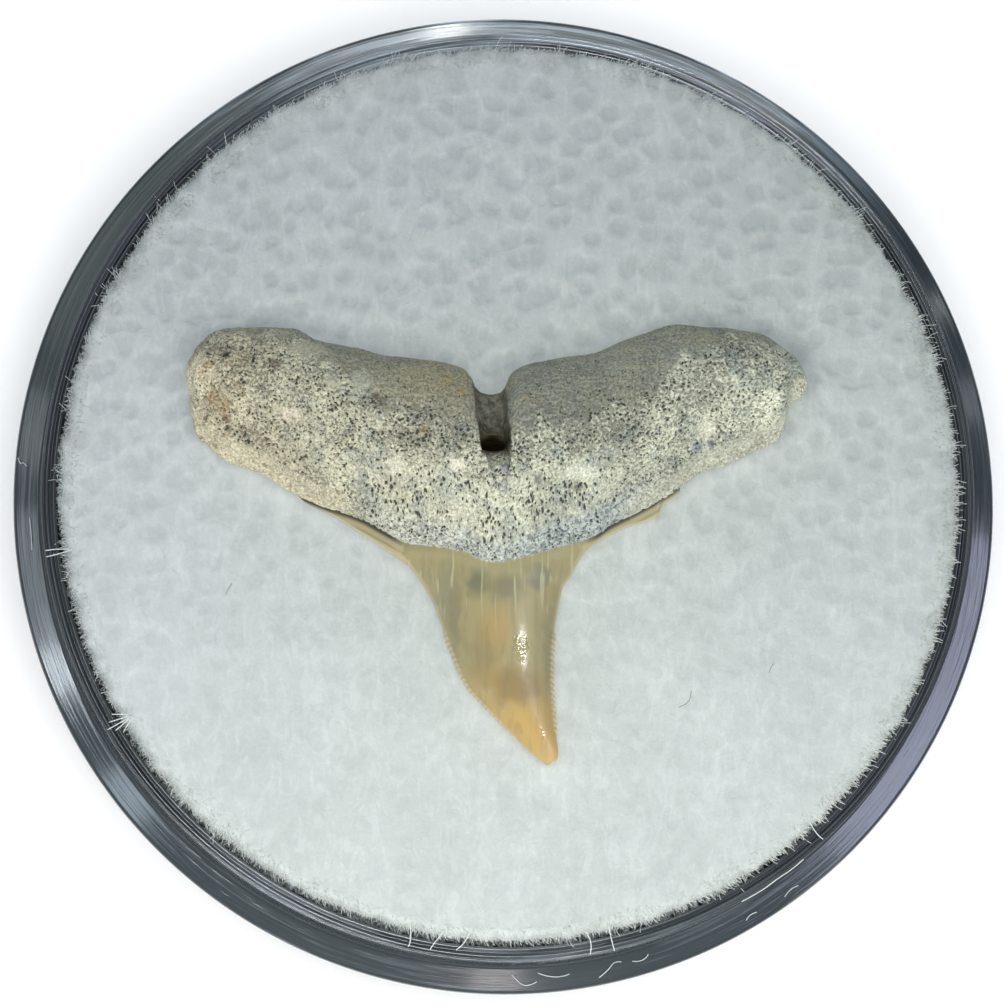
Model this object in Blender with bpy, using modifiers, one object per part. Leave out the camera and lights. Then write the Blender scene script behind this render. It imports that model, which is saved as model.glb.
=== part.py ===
"""Fossil shark tooth lying on a fibre pad in the lower half of a small round display jar.

Units are metres, +Z is up, and the origin is the middle of the jar's underside. The tooth lies on
its flatter outer face: its root runs along X, and its crown points along -Y.
"""

import math

import bmesh
import bpy
import numpy as np
from mathutils import Vector, noise

MM = 0.001

# Jar: a cup with an outer shoulder and a thin raised collar for the lid.
JAR_RADIUS = 15.875 * MM
JAR_FOOT_RADIUS = 15.35 * MM
JAR_CORNER = 0.35 * MM
SHOULDER_HEIGHT = 7.6 * MM
SHOULDER_CORNER = 0.30 * MM
COLLAR_HEIGHT = 10.1 * MM
COLLAR_OUTER_RADIUS = 15.10 * MM
COLLAR_INNER_RADIUS = 14.78 * MM
COLLAR_CORNER = 0.10 * MM
FLOOR_THICKNESS = 1.2 * MM
FLOOR_RADIUS = 14.45 * MM
FLOOR_CORNER = 0.5 * MM
SMOKED_PLASTIC = (0.05, 0.06, 0.07)
JAR_STEPS = 80
ARC_STEPS = 2
MERGE_WITHIN = 0.01 * MM

# Pad: a soft round cushion of fibre that stands a little proud of the collar.
PAD_RADIUS = 14.40 * MM
PAD_UNDERSIDE = 1.5 * MM
PAD_EDGE_HEIGHT = 10.30 * MM
PAD_CROWN_HEIGHT = 10.45 * MM
PAD_EDGE_ROUND = 0.9 * MM
PAD_FOOT_ROUND = 0.45 * MM
PAD_CROWN_RADIUS = 11.5 * MM
PAD_CROWN_ROUND = 4.3 * MM
PAD_STEPS = 40
WHITE_FIBRE = (0.80, 0.82, 0.80)

# Tooth: where its own origin, the hole in its groove, stands in the jar.
TOOTH_X = -0.64 * MM
TOOTH_Y = 1.50 * MM
TOOTH_UNDERSIDE = 10.55 * MM
FOSSIL_BONE = (0.50, 0.47, 0.38)

# Root, from the end of the left lobe to the end of the right one, in millimetres:
# place along X, upper edge, lower edge, height of the crest, of the lower lip, width of the ledge.
ROOT_STATIONS = (
    (-9.50, 2.66, 2.36, 1.30, 1.05, 0.00),
    (-9.44, 2.86, 1.95, 1.60, 1.20, 0.05),
    (-9.34, 3.04, 0.84, 1.95, 1.40, 0.15),
    (-9.00, 3.38, -0.06, 2.45, 1.60, 0.25),
    (-8.50, 3.56, -0.55, 2.85, 1.65, 0.35),
    (-7.35, 3.60, -0.97, 3.20, 1.65, 0.45),
    (-6.36, 3.56, -1.50, 3.40, 1.65, 0.40),
    (-5.60, 3.20, -1.84, 3.55, 1.70, 0.25),
    (-4.20, 2.96, -2.28, 3.80, 1.85, 0.05),
    (-3.43, 2.70, -2.74, 3.95, 2.05, 0.00),
    (-2.70, 2.62, -3.22, 4.05, 2.25, 0.00),
    (-1.80, 2.52, -3.42, 4.15, 2.38, 0.00),
    (-0.95, 2.24, -3.52, 4.20, 2.42, 0.00),
    (-0.60, 1.66, -3.66, 4.15, 2.42, 0.00),
    (-0.10, 1.46, -3.82, 4.10, 2.42, 0.00),
    (0.42, 1.70, -3.80, 4.15, 2.42, 0.00),
    (0.62, 2.14, -3.74, 4.20, 2.42, 0.00),
    (1.20, 2.44, -3.58, 4.20, 2.38, 0.00),
    (2.21, 2.64, -3.34, 4.15, 2.30, 0.00),
    (3.27, 2.86, -3.00, 4.05, 2.15, 0.00),
    (3.85, 3.10, -2.62, 4.00, 1.95, 0.00),
    (4.81, 3.46, -2.13, 3.90, 1.80, 0.10),
    (6.00, 3.80, -1.40, 3.70, 1.65, 0.40),
    (6.71, 3.74, -0.90, 3.55, 1.60, 0.50),
    (7.70, 3.66, -0.55, 3.30, 1.55, 0.50),
    (8.76, 3.50, -0.15, 2.90, 1.50, 0.45),
    (9.20, 3.18, 0.12, 2.60, 1.45, 0.40),
    (9.42, 3.00, 0.34, 2.40, 1.40, 0.35),
    (9.56, 2.87, 1.30, 2.20, 1.35, 0.20),
    (9.90, 2.60, 1.58, 1.95, 1.28, 0.05),
    (10.06, 2.44, 1.76, 1.65, 1.15, 0.00),
    (10.14, 2.28, 1.94, 1.30, 1.00, 0.00),
)
ROOT_RINGS = 72
ROOT_RING_POINTS = 28
ROOT_CROWDING = 0.75
CREST_PLACE = 0.34
UPPER_ROUND = 0.34
UPPER_FULLNESS = 1.8
LOWER_ROUND = 0.10
LOWER_FULLNESS = 2.4
UPPER_EDGE_SHARE = 0.42
LOWER_EDGE_SHARE = 0.66
LEDGE_SLOPE = 0.25
LEDGE_DROP = 0.38

# Crown, from inside the root to the tip: place along Y, left edge, right edge, ridge height.
CROWN_STATIONS = (
    (-2.60, -2.70, 2.70, 1.60),
    (-3.20, -3.05, 3.05, 1.92),
    (-3.52, -2.99, 2.95, 2.08),
    (-3.75, -2.76, 2.79, 2.18),
    (-4.20, -2.38, 2.57, 2.26),
    (-4.59, -2.12, 2.31, 2.28),
    (-5.01, -1.89, 2.21, 2.26),
    (-5.62, -1.64, 2.09, 2.19),
    (-6.20, -1.44, 2.02, 2.08),
    (-6.75, -1.22, 1.97, 1.96),
    (-7.23, -1.03, 1.96, 1.85),
    (-7.82, -0.71, 1.96, 1.70),
    (-8.36, -0.22, 1.99, 1.52),
    (-8.98, 0.39, 2.04, 1.28),
    (-9.49, 0.90, 2.12, 1.05),
    (-9.80, 1.22, 2.16, 0.91),
    (-10.04, 1.51, 2.13, 0.78),
    (-10.20, 1.76, 1.90, 0.64),
)
CROWN_RINGS = 14
TIP_RINGS = 10
CROWN_RING_POINTS = 16
CROWN_EDGE_HEIGHT = 0.55
CROWN_UNDERSIDE = 0.10
CROWN_SIDES = 2.2
CROWN_INNER_FULLNESS = 0.8
CROWN_OUTER_FULLNESS = 0.7
SERRATED_FROM = -6.20
SERRATED_TO = -8.84
SERRATION_PITCH = 0.16
SERRATION_DEPTH = 0.035

# Enamel heels, one thin plate that shows past the root's lower edge on both sides of the crown:
# place along X, hidden upper edge, lower edge, half thickness.
HEEL_STATIONS = (
    (-6.13, -1.50, -1.70, 0.10),
    (-5.94, -1.20, -1.88, 0.18),
    (-5.40, -1.00, -2.16, 0.24),
    (-4.85, -1.00, -2.45, 0.28),
    (-3.92, -1.00, -3.04, 0.34),
    (-3.05, -1.00, -3.62, 0.42),
    (-2.20, -1.00, -4.10, 0.45),
    (2.20, -1.00, -4.10, 0.45),
    (3.11, -1.00, -3.35, 0.42),
    (3.60, -1.00, -3.02, 0.38),
    (4.37, -1.00, -2.77, 0.32),
    (5.20, -1.00, -2.40, 0.26),
    (5.62, -1.00, -1.95, 0.20),
    (5.97, -1.20, -1.45, 0.10),
)
HEEL_RINGS = 40
HEEL_RING_POINTS = 10
HEEL_CROWDING = 0.6
HEEL_MIDDLE_HEIGHT = 0.60

# Groove across the root, from past its upper edge to where it fades out:
# place along Y, place along X, half width, height of the floor.
GROOVE_STATIONS = (
    (2.60, -0.02, 0.56, 1.70),
    (1.30, -0.02, 0.55, 2.15),
    (0.30, 0.02, 0.56, 2.50),
    (-0.25, 0.05, 0.50, 2.80),
    (-0.80, 0.04, 0.37, 3.08),
    (-1.25, 0.06, 0.26, 3.28),
    (-1.65, 0.08, 0.15, 3.38),
    (-2.00, 0.10, 0.07, 3.42),
)
GROOVE_TOP = 6.0
GROOVE_FLARE = 1.15
GROOVE_CORNER = 0.35
HOLE_SIZE = (0.92, 0.60, 3.0)
HOLE_CORNER = 0.14
HOLE_PLACE = (0.04, -0.50, 2.30)
HOLE_TILT = math.radians(-35)

# Weathering of the root's bone: soft lumps, fine grain and pits.
LUMP_SIZE = 2.2
LUMP_HEIGHT = 0.16
GRAIN_SIZE = 0.8
GRAIN_HEIGHT = 0.05
PIT_SIZE = 0.5
PIT_DEPTH = 0.16
PIT_REACH = 0.35

# Broken notches of the root: centre along X, Y and Z, radius, depth.
NOTCHES = (
    (-9.55, 1.70, 1.2, 0.50, 0.40),
    (-8.90, 3.10, 2.6, 0.45, 0.16),
    (-7.90, 2.75, 3.0, 0.50, 0.18),
    (9.45, 1.10, 1.3, 0.50, 0.20),
    (6.90, 0.20, 2.3, 0.60, 0.22),
    (-3.75, 1.15, 3.9, 0.40, 0.14),
)


def material(name, colour, roughness):
    """Principled material with one colour."""
    made = bpy.data.materials.new(name)
    made.use_nodes = True
    shader = made.node_tree.nodes["Principled BSDF"]
    shader.inputs["Base Color"].default_value = (*colour, 1)
    shader.inputs["Roughness"].default_value = roughness
    shader.inputs["Metallic"].default_value = 0
    return made


def add_object(name, mesh, collection, finish=None):
    """Object of this mesh in this collection."""
    made = bpy.data.objects.new(name, mesh)
    collection.objects.link(made)
    if finish:
        mesh.materials.append(finish)
    mesh.shade_smooth()
    return made


def smooth_through(stations, places):
    """Columns of the stations at these places, on curves that never overshoot a station."""
    table = np.array(stations, float)
    known = table[:, 0]
    step = np.diff(known)
    columns = []
    for values in table[:, 1:].T:
        slope = np.diff(values) / step
        turn = slope[:-1] * slope[1:] <= 0
        safe = np.where(turn, 1, slope[:-1] + slope[1:])
        inner = np.where(turn, 0, 2 * slope[:-1] * slope[1:] / safe)
        tangent = np.concatenate(([slope[0]], inner, [slope[-1]]))
        left = np.clip(np.searchsorted(known, places, side="right") - 1, 0, len(step) - 1)
        t = (places - known[left]) / step[left]
        columns.append(
            (2 * t**3 - 3 * t**2 + 1) * values[left]
            + (t**3 - 2 * t**2 + t) * step[left] * tangent[left]
            + (3 * t**2 - 2 * t**3) * values[left + 1]
            + (t**3 - t**2) * step[left] * tangent[left + 1]
        )
    return np.array(columns).T


def crowded_ends(first, last, count, crowding):
    """Places from first to last that stand closer together towards both ends."""
    even = np.linspace(0, 1, count)
    eased = even - crowding * np.sin(2 * math.pi * even) / (2 * math.pi)
    return first + (last - first) * eased


def skin(name, rings):
    """Closed mesh over rings of equal length, which run from one end of the form to the other."""
    rings = np.array(rings) * MM
    count = rings.shape[1]
    points = np.concatenate([rings.reshape(-1, 3), rings[[0, -1]].mean(axis=1)])
    first_pole, last_pole = len(points) - 2, len(points) - 1
    last_ring = (len(rings) - 1) * count
    faces = []
    for point in range(count):
        after = (point + 1) % count
        faces.append((first_pole, after, point))
        faces.append((last_pole, last_ring + point, last_ring + after))
        for start in range(0, last_ring, count):
            faces.append((start + point, start + after, start + count + after, start + count + point))
    mesh = bpy.data.meshes.new(name)
    mesh.from_pydata(points.tolist(), [], faces)
    mesh.update()
    return mesh


def rise(across, width, fullness):
    """Rounded step from 0 to 1 over this width."""
    near = 1 - np.minimum(across / width, 1)
    return (1 - near**fullness) ** (1 / fullness)


def root_ring(x, upper, lower, crest, lip, ledge):
    """Section of the root across its length: full above, with a ledge at its lower edge."""
    turn = np.linspace(0, 2 * math.pi, ROOT_RING_POINTS, endpoint=False)
    across = (1 - np.cos(turn)) / 2
    beyond = np.maximum(across - CREST_PLACE, 0) / (1 - CREST_PLACE)
    body = lip + (crest - lip) * (0.5 + 0.5 * np.cos(math.pi * beyond))
    to_lower_edge = (upper - lower) * (1 - across)
    on_ledge = np.clip(0.5 + (ledge - to_lower_edge) / LEDGE_SLOPE, 0, 1)
    body = body - LEDGE_DROP * lip * on_ledge * min(ledge / LEDGE_SLOPE, 1)
    edge = body * (UPPER_EDGE_SHARE + (LOWER_EDGE_SHARE - UPPER_EDGE_SHARE) * across)
    upper_side = rise(across, UPPER_ROUND, UPPER_FULLNESS)
    lower_side = rise(1 - across, LOWER_ROUND, LOWER_FULLNESS)
    above = edge + (body - edge) * upper_side * lower_side
    below = edge * (1 - rise(across, UPPER_ROUND / 2, LOWER_FULLNESS) * lower_side)
    height = np.where(turn < math.pi, above, below)
    depth = upper + (lower - upper) * across
    return np.stack([np.full_like(depth, x), depth, height], axis=1)


def crown_ring(y, left, right, ridge, notch):
    """Section of the crown: a full inner face above, a flatter outer face below, and thin edges."""
    turn = np.linspace(0, 2 * math.pi, CROWN_RING_POINTS, endpoint=False)
    side = -np.cos(turn)
    fullness = np.maximum(1 - np.abs(side) ** CROWN_SIDES, 0)
    inner, outer = fullness**CROWN_INNER_FULLNESS, fullness**CROWN_OUTER_FULLNESS
    above = CROWN_EDGE_HEIGHT + (ridge - CROWN_EDGE_HEIGHT) * inner
    below = CROWN_EDGE_HEIGHT + (CROWN_UNDERSIDE - CROWN_EDGE_HEIGHT) * outer
    height = np.where(turn < math.pi, above, below)
    width = (left + right) / 2 + (right - left) / 2 * side
    width[0] += notch
    width[CROWN_RING_POINTS // 2] -= notch
    return np.stack([width, np.full_like(width, y), height], axis=1)


def heel_ring(x, upper, lower, half_thickness):
    """Section of the heel plate: a flat oval."""
    turn = np.linspace(0, 2 * math.pi, HEEL_RING_POINTS, endpoint=False)
    depth = (upper + lower) / 2 + (upper - lower) / 2 * np.cos(turn)
    height = HEEL_MIDDLE_HEIGHT + half_thickness * np.sin(turn)
    return np.stack([np.full_like(depth, x), depth, height], axis=1)


def weather(mesh):
    """Lumps, grain, pits and broken notches along the root's normals, and a flat side to lie on."""
    for vertex in mesh.vertices:
        place = vertex.co / MM
        move = LUMP_HEIGHT * noise.noise(place / LUMP_SIZE)
        move += GRAIN_HEIGHT * noise.noise(place / GRAIN_SIZE)
        nearest = noise.voronoi(place / PIT_SIZE)[0][0]
        move -= PIT_DEPTH * max(0, 1 - nearest / PIT_REACH)
        for *centre, radius, depth in NOTCHES:
            away = (place - Vector(centre)).length / radius
            move -= depth * max(0, 1 - away**2) ** 2
        vertex.co += vertex.normal * move * MM
        vertex.co.z = max(vertex.co.z, 0)
    mesh.update()


def root_mesh():
    places = crowded_ends(ROOT_STATIONS[0][0], ROOT_STATIONS[-1][0], ROOT_RINGS, ROOT_CROWDING)
    columns = smooth_through(ROOT_STATIONS, places)
    mesh = skin("shark_tooth", [root_ring(x, *values) for x, values in zip(places, columns)])
    mesh.flip_normals()
    weather(mesh)
    return mesh


def crown_mesh():
    """Crown with rings at half the serrations' pitch, each second one drawn in at both edges."""
    base, tip = CROWN_STATIONS[0][0], CROWN_STATIONS[-1][0]
    plain = np.linspace(base, SERRATED_FROM, CROWN_RINGS, endpoint=False)
    serrated = np.arange(SERRATED_FROM, SERRATED_TO, -SERRATION_PITCH / 2)
    towards_tip = np.sin(np.linspace(0, math.pi / 2, TIP_RINGS))
    places = np.concatenate([plain, serrated, SERRATED_TO + (tip - SERRATED_TO) * towards_tip])
    notches = np.zeros(len(places))
    notches[len(plain) : len(plain) + len(serrated) : 2] = SERRATION_DEPTH
    columns = smooth_through([(-y, *rest) for y, *rest in CROWN_STATIONS], -places)
    rings = [crown_ring(y, *values, notch) for y, values, notch in zip(places, columns, notches)]
    return skin("crown", rings)


def heel_mesh():
    places = crowded_ends(HEEL_STATIONS[0][0], HEEL_STATIONS[-1][0], HEEL_RINGS, HEEL_CROWDING)
    columns = smooth_through(HEEL_STATIONS, places)
    return skin("heels", [heel_ring(x, *values) for x, values in zip(places, columns)])


def groove_mesh():
    """Trough with rounded corners at its floor, open above the root."""
    rings = []
    for y, x, half, floor in GROOVE_STATIONS:
        corner = GROOVE_CORNER * half
        wall = -half * GROOVE_FLARE
        outline = [(wall, GROOVE_TOP), (-half, floor + corner), (corner - half, floor)]
        outline += [(-across, height) for across, height in reversed(outline)]
        rings.append([(x + across, y, height) for across, height in outline])
    return skin("groove", rings)


def hole_mesh():
    """Tilted slot with rounded corners, which runs down under the root from the groove's floor."""
    mesh = bpy.data.meshes.new("hole")
    form = bmesh.new()
    bmesh.ops.create_cube(form, size=1)
    bmesh.ops.scale(form, verts=form.verts, vec=Vector(HOLE_SIZE) * MM)
    form.to_mesh(mesh)
    form.free()
    return mesh


def build_tooth(collection, helpers, bone):
    """Root with its groove and hole, joined with the heels and the crown."""
    place = Vector((TOOTH_X, TOOTH_Y, TOOTH_UNDERSIDE))
    tooth = add_object("shark_tooth", root_mesh(), collection, bone)
    tooth.location = place
    for name, mesh, operation in (
        ("groove", groove_mesh(), "DIFFERENCE"),
        ("hole", hole_mesh(), "DIFFERENCE"),
        ("heels", heel_mesh(), "UNION"),
        ("crown", crown_mesh(), "UNION"),
    ):
        other = add_object(name, mesh, helpers)
        other.hide_render = True
        other.display_type = "WIRE"
        other.location = place
        step = tooth.modifiers.new(name, "BOOLEAN")
        step.solver = "EXACT"
        step.operation = operation
        step.object = other
    hole = bpy.data.objects["hole"]
    hole.location = place + Vector(HOLE_PLACE) * MM
    hole.rotation_euler = (HOLE_TILT, 0, 0)
    rounding = hole.modifiers.new("rounding", "BEVEL")
    rounding.width = HOLE_CORNER * MM
    rounding.segments = 2


def rounded(corners):
    """Outline through (radius, height, rounding) corners, each rounded by an arc."""
    outline = []
    for index, (radius, height, rounding) in enumerate(corners):
        here = Vector((radius, height))
        if not rounding:
            outline.append(here)
            continue
        before = (Vector(corners[index - 1][:2]) - here).normalized()
        after = (Vector(corners[index + 1][:2]) - here).normalized()
        half = before.angle(after) / 2
        centre = here + (before + after).normalized() * rounding / math.sin(half)
        start = here + before * rounding / math.tan(half) - centre
        sweep = (math.pi - 2 * half) * math.copysign(1, before.y * after.x - before.x * after.y)
        for step in range(ARC_STEPS + 1):
            turn = sweep * step / ARC_STEPS
            outline.append(centre + Vector((
                start.x * math.cos(turn) - start.y * math.sin(turn),
                start.x * math.sin(turn) + start.y * math.cos(turn),
            )))
    return outline


def add_turned(name, corners, steps, collection, finish):
    """Object turned round Z from the rounded outline of these corners."""
    outline = rounded(corners)
    mesh = bpy.data.meshes.new(name)
    points = [(radius, 0, height) for radius, height in outline]
    mesh.from_pydata(points, [(index, index + 1) for index in range(len(points) - 1)], [])
    made = add_object(name, mesh, collection, finish)
    turning = made.modifiers.new("turning", "SCREW")
    turning.axis = "Z"
    turning.angle = 2 * math.pi
    turning.steps = steps
    turning.render_steps = steps
    turning.use_merge_vertices = True
    turning.merge_threshold = MERGE_WITHIN
    turning.use_smooth_shade = True
    return made


def build_jar(collection, plastic):
    """Cup, turned from its inner floor over the collar and the shoulder to its underside."""
    corners = (
        (0, FLOOR_THICKNESS, 0),
        (FLOOR_RADIUS, FLOOR_THICKNESS, FLOOR_CORNER),
        (COLLAR_INNER_RADIUS, COLLAR_HEIGHT, COLLAR_CORNER),
        (COLLAR_OUTER_RADIUS, COLLAR_HEIGHT, COLLAR_CORNER),
        (COLLAR_OUTER_RADIUS, SHOULDER_HEIGHT, COLLAR_CORNER),
        (JAR_RADIUS, SHOULDER_HEIGHT, SHOULDER_CORNER),
        (JAR_FOOT_RADIUS, 0, JAR_CORNER),
        (0, 0, 0),
    )
    add_turned("jar_cup", corners, JAR_STEPS, collection, plastic)


def build_pad(collection, fibre):
    """Cushion, turned from its crowned top over its round edge to its underside."""
    corners = (
        (0, PAD_CROWN_HEIGHT, 0),
        (PAD_CROWN_RADIUS, PAD_CROWN_HEIGHT, PAD_CROWN_ROUND),
        (PAD_RADIUS, PAD_EDGE_HEIGHT, PAD_EDGE_ROUND),
        (PAD_RADIUS, PAD_UNDERSIDE, PAD_FOOT_ROUND),
        (0, PAD_UNDERSIDE, 0),
    )
    add_turned("fibre_pad", corners, PAD_STEPS, collection, fibre)


def main():
    for old in list(bpy.data.objects):
        bpy.data.objects.remove(old, do_unlink=True)
    collection = bpy.data.collections.new("fossil_shark_tooth")
    helpers = bpy.data.collections.new("cutters")
    bpy.context.scene.collection.children.link(collection)
    bpy.context.scene.collection.children.link(helpers)
    build_jar(collection, material("smoked_plastic", SMOKED_PLASTIC, 0.15))
    build_pad(collection, material("white_fibre", WHITE_FIBRE, 0.95))
    build_tooth(collection, helpers, material("fossil_bone", FOSSIL_BONE, 0.80))


main()
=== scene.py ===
"""Visual model of a fossil shark tooth on a fibre pad in the lower half of a round display jar.

Metres, +Z up. The origin is the middle of the jar's underside. The tooth's forms are worked out in
millimetres from its own origin, the hole in its groove, and set in place as its mesh is made.
"""

import math

import bmesh
import bpy
import numpy as np
from mathutils import Matrix, Vector
from mathutils.bvhtree import BVHTree


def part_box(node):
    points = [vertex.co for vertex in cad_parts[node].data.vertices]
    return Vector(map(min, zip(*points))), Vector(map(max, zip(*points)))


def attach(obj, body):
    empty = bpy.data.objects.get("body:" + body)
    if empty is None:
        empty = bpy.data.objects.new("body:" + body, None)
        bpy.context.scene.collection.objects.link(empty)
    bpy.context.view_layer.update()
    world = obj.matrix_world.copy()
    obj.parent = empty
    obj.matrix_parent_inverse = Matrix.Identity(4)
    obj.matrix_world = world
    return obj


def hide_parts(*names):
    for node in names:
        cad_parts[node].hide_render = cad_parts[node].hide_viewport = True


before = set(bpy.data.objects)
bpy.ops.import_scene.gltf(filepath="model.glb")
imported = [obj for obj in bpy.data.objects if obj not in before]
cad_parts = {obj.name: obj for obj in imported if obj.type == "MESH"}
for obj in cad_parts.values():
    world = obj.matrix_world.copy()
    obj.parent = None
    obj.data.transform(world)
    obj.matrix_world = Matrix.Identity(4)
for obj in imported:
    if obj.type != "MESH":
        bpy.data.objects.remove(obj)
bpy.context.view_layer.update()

bl_info = {
    "name": "Fossil Tooth in a Jar",
    "version": (1, 0, 0),
    "blender": (4, 5, 0),
    "location": "View3D > Sidebar > Fossil",
    "description": "Builds a fossil shark tooth on a fibre pad in an open display jar",
    "category": "Object",
}

MM = 0.001
FINE_STEPS = 4000
MERGE_DISTANCE = 0.001 * MM
WELD_DISTANCE = 0.0001 * MM

# Share of a soft spot's radius over which it is full.
SPOT_CORE = 0.25

# A place on the bone that is shorter than this was never kept, so its point is a new one.
NO_PLACE = 1e-6

PAD_LOW, PAD_HIGH = (Vector(corner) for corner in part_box("fibre_pad"))
TOOTH_LOW = Vector(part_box("shark_tooth")[0])

# Where the tooth's own origin stands in the jar.
TOOTH_PLACE = Vector((-0.64 * MM, 1.50 * MM, TOOTH_LOW.z))

# Root, from the end of the left lobe to the end of the right one: place along X, upper edge,
# lower edge, height of the crest, of the lower lip, width of the ledge.
ROOT_STATIONS = (
    (-9.68, 2.40, 2.10, 1.30, 1.05, 0.00),
    (-9.63, 2.62, 1.60, 1.55, 1.20, 0.05),
    (-9.56, 2.78, 0.90, 1.80, 1.35, 0.10),
    (-9.46, 2.96, 0.44, 2.05, 1.45, 0.15),
    (-9.23, 3.22, 0.06, 2.40, 1.55, 0.25),
    (-8.97, 3.38, -0.18, 2.65, 1.62, 0.30),
    (-8.50, 3.56, -0.55, 2.95, 1.65, 0.35),
    (-7.35, 3.60, -0.97, 3.20, 1.65, 0.45),
    (-6.36, 3.56, -1.60, 3.40, 1.65, 0.40),
    (-5.60, 3.20, -1.96, 3.55, 1.70, 0.25),
    (-4.20, 2.96, -2.46, 3.80, 1.85, 0.05),
    (-3.43, 2.70, -2.88, 3.95, 2.05, 0.00),
    (-2.70, 2.62, -3.26, 4.05, 2.25, 0.00),
    (-1.80, 2.52, -3.42, 4.15, 2.38, 0.00),
    (-0.95, 2.30, -3.66, 4.20, 2.42, 0.00),
    (-0.68, 2.00, -3.84, 4.18, 2.42, 0.00),
    (-0.56, 1.70, -3.92, 4.15, 2.42, 0.00),
    (-0.34, 1.51, -4.02, 4.12, 2.42, 0.00),
    (-0.10, 1.46, -4.08, 4.10, 2.42, 0.00),
    (0.20, 1.51, -4.10, 4.12, 2.42, 0.00),
    (0.42, 1.74, -4.07, 4.15, 2.42, 0.00),
    (0.62, 2.16, -4.00, 4.20, 2.42, 0.00),
    (1.20, 2.44, -3.74, 4.20, 2.38, 0.00),
    (2.21, 2.64, -3.34, 4.15, 2.30, 0.00),
    (3.27, 2.86, -3.00, 4.05, 2.15, 0.00),
    (3.85, 3.10, -2.62, 4.00, 1.95, 0.00),
    (4.81, 3.46, -2.13, 3.90, 1.80, 0.10),
    (6.00, 3.80, -1.40, 3.70, 1.65, 0.40),
    (6.71, 3.74, -0.90, 3.55, 1.60, 0.50),
    (7.70, 3.66, -0.55, 3.30, 1.55, 0.50),
    (8.62, 3.52, -0.12, 2.95, 1.50, 0.45),
    (9.00, 3.35, 0.04, 2.75, 1.45, 0.42),
    (9.24, 3.20, 0.24, 2.60, 1.42, 0.38),
    (9.40, 3.10, 0.55, 2.47, 1.38, 0.28),
    (9.52, 3.02, 1.08, 2.37, 1.32, 0.15),
    (9.74, 2.82, 1.47, 2.12, 1.22, 0.05),
    (9.94, 2.60, 1.56, 1.80, 1.10, 0.00),
    (10.06, 2.40, 1.68, 1.50, 1.00, 0.00),
    (10.14, 2.12, 1.84, 1.20, 0.90, 0.00),
)
ROOT_RINGS = 440
ROOT_TOP_POINTS = 166
ROOT_UNDER_POINTS = 20
CREST_PLACE = 0.34
UPPER_ROUND = 0.34
UPPER_FULLNESS = 1.8
LOWER_ROUND = 0.10
LOWER_FULLNESS = 2.4
UPPER_EDGE_SHARE = 0.42
LOWER_EDGE_SHARE = 0.66
LEDGE_SLOPE = 0.25
LEDGE_DROP = 0.38
ROOT_FINE_POINTS = 700
GRAIN_HEIGHT = 0.03

# Where the root's rings stand closer together: place along X, half width, power, how many more.
ROOT_DENSE_PLACES = (
    (0.05, 0.75, 4, 1.6),
    (-9.60, 0.35, 2, 2.0),
    (10.00, 0.40, 2, 2.0),
)

# Groove across the root: place along Y, place along X, half width, height of the floor.
GROOVE_STATIONS = (
    (2.60, -0.15, 0.46, 1.70),
    (1.30, -0.14, 0.45, 2.15),
    (0.60, -0.12, 0.44, 2.40),
    (0.10, -0.05, 0.43, 2.60),
    (-0.45, -0.02, 0.42, 2.95),
    (-0.75, 0.06, 0.36, 3.35),
    (-1.10, 0.14, 0.26, 3.60),
    (-1.50, 0.20, 0.16, 3.53),
    (-1.95, 0.24, 0.06, 3.34),
)
GROOVE_WALL_SLOPE = 22.0
GROOVE_LIP = 0.10
GROOVE_BOW = 0.18
HOLE_CENTRE = (-0.03, -0.20)
HOLE_HALF_SIZE = (0.46, 0.27)
HOLE_POWERS = (4, 3)
HOLE_ROUNDING = 0.3
HOLE_WALL = 0.35
HOLE_DEPTH = 1.5

# Crown, from inside the root to the tip: place along Y, left edge, right edge, ridge height.
CROWN_STATIONS = (
    (-2.60, -2.70, 2.70, 1.60),
    (-3.20, -3.05, 3.05, 1.92),
    (-3.52, -2.99, 2.95, 2.08),
    (-3.75, -2.76, 2.79, 2.18),
    (-4.20, -2.38, 2.57, 2.26),
    (-4.59, -2.12, 2.31, 2.28),
    (-5.01, -1.89, 2.21, 2.26),
    (-5.62, -1.64, 2.09, 2.19),
    (-6.20, -1.44, 2.02, 2.08),
    (-6.75, -1.22, 1.97, 1.96),
    (-7.23, -1.03, 1.96, 1.85),
    (-7.82, -0.71, 1.96, 1.70),
    (-8.36, -0.22, 1.99, 1.52),
    (-8.98, 0.39, 2.04, 1.28),
    (-9.49, 0.90, 2.12, 1.05),
    (-9.80, 1.22, 2.16, 0.91),
    (-10.04, 1.51, 2.13, 0.78),
    (-10.20, 1.76, 1.90, 0.64),
)
CROWN_RINGS = 190
CROWN_RING_POINTS = 72
CROWN_EDGE_HEIGHT = 0.55
CROWN_UNDERSIDE = 0.10
CROWN_SIDES = 2.2
CROWN_INNER_FULLNESS = 0.8
CROWN_OUTER_FULLNESS = 0.7
SERRATED_FROM = -5.9
SERRATED_TO = -9.0
SERRATIONS_GROW_OVER = 0.4
SERRATIONS_FADE_OVER = 0.5
SERRATED_BAND = (0.90, 1.0)

# Where the crown's rings stand closer together: from and to along Y, how many more.
CROWN_DENSE_PLACES = (
    (SERRATED_FROM, SERRATED_FROM - 0.3, 1.4),
    (-9.9, -10.2, 3),
)

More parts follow.
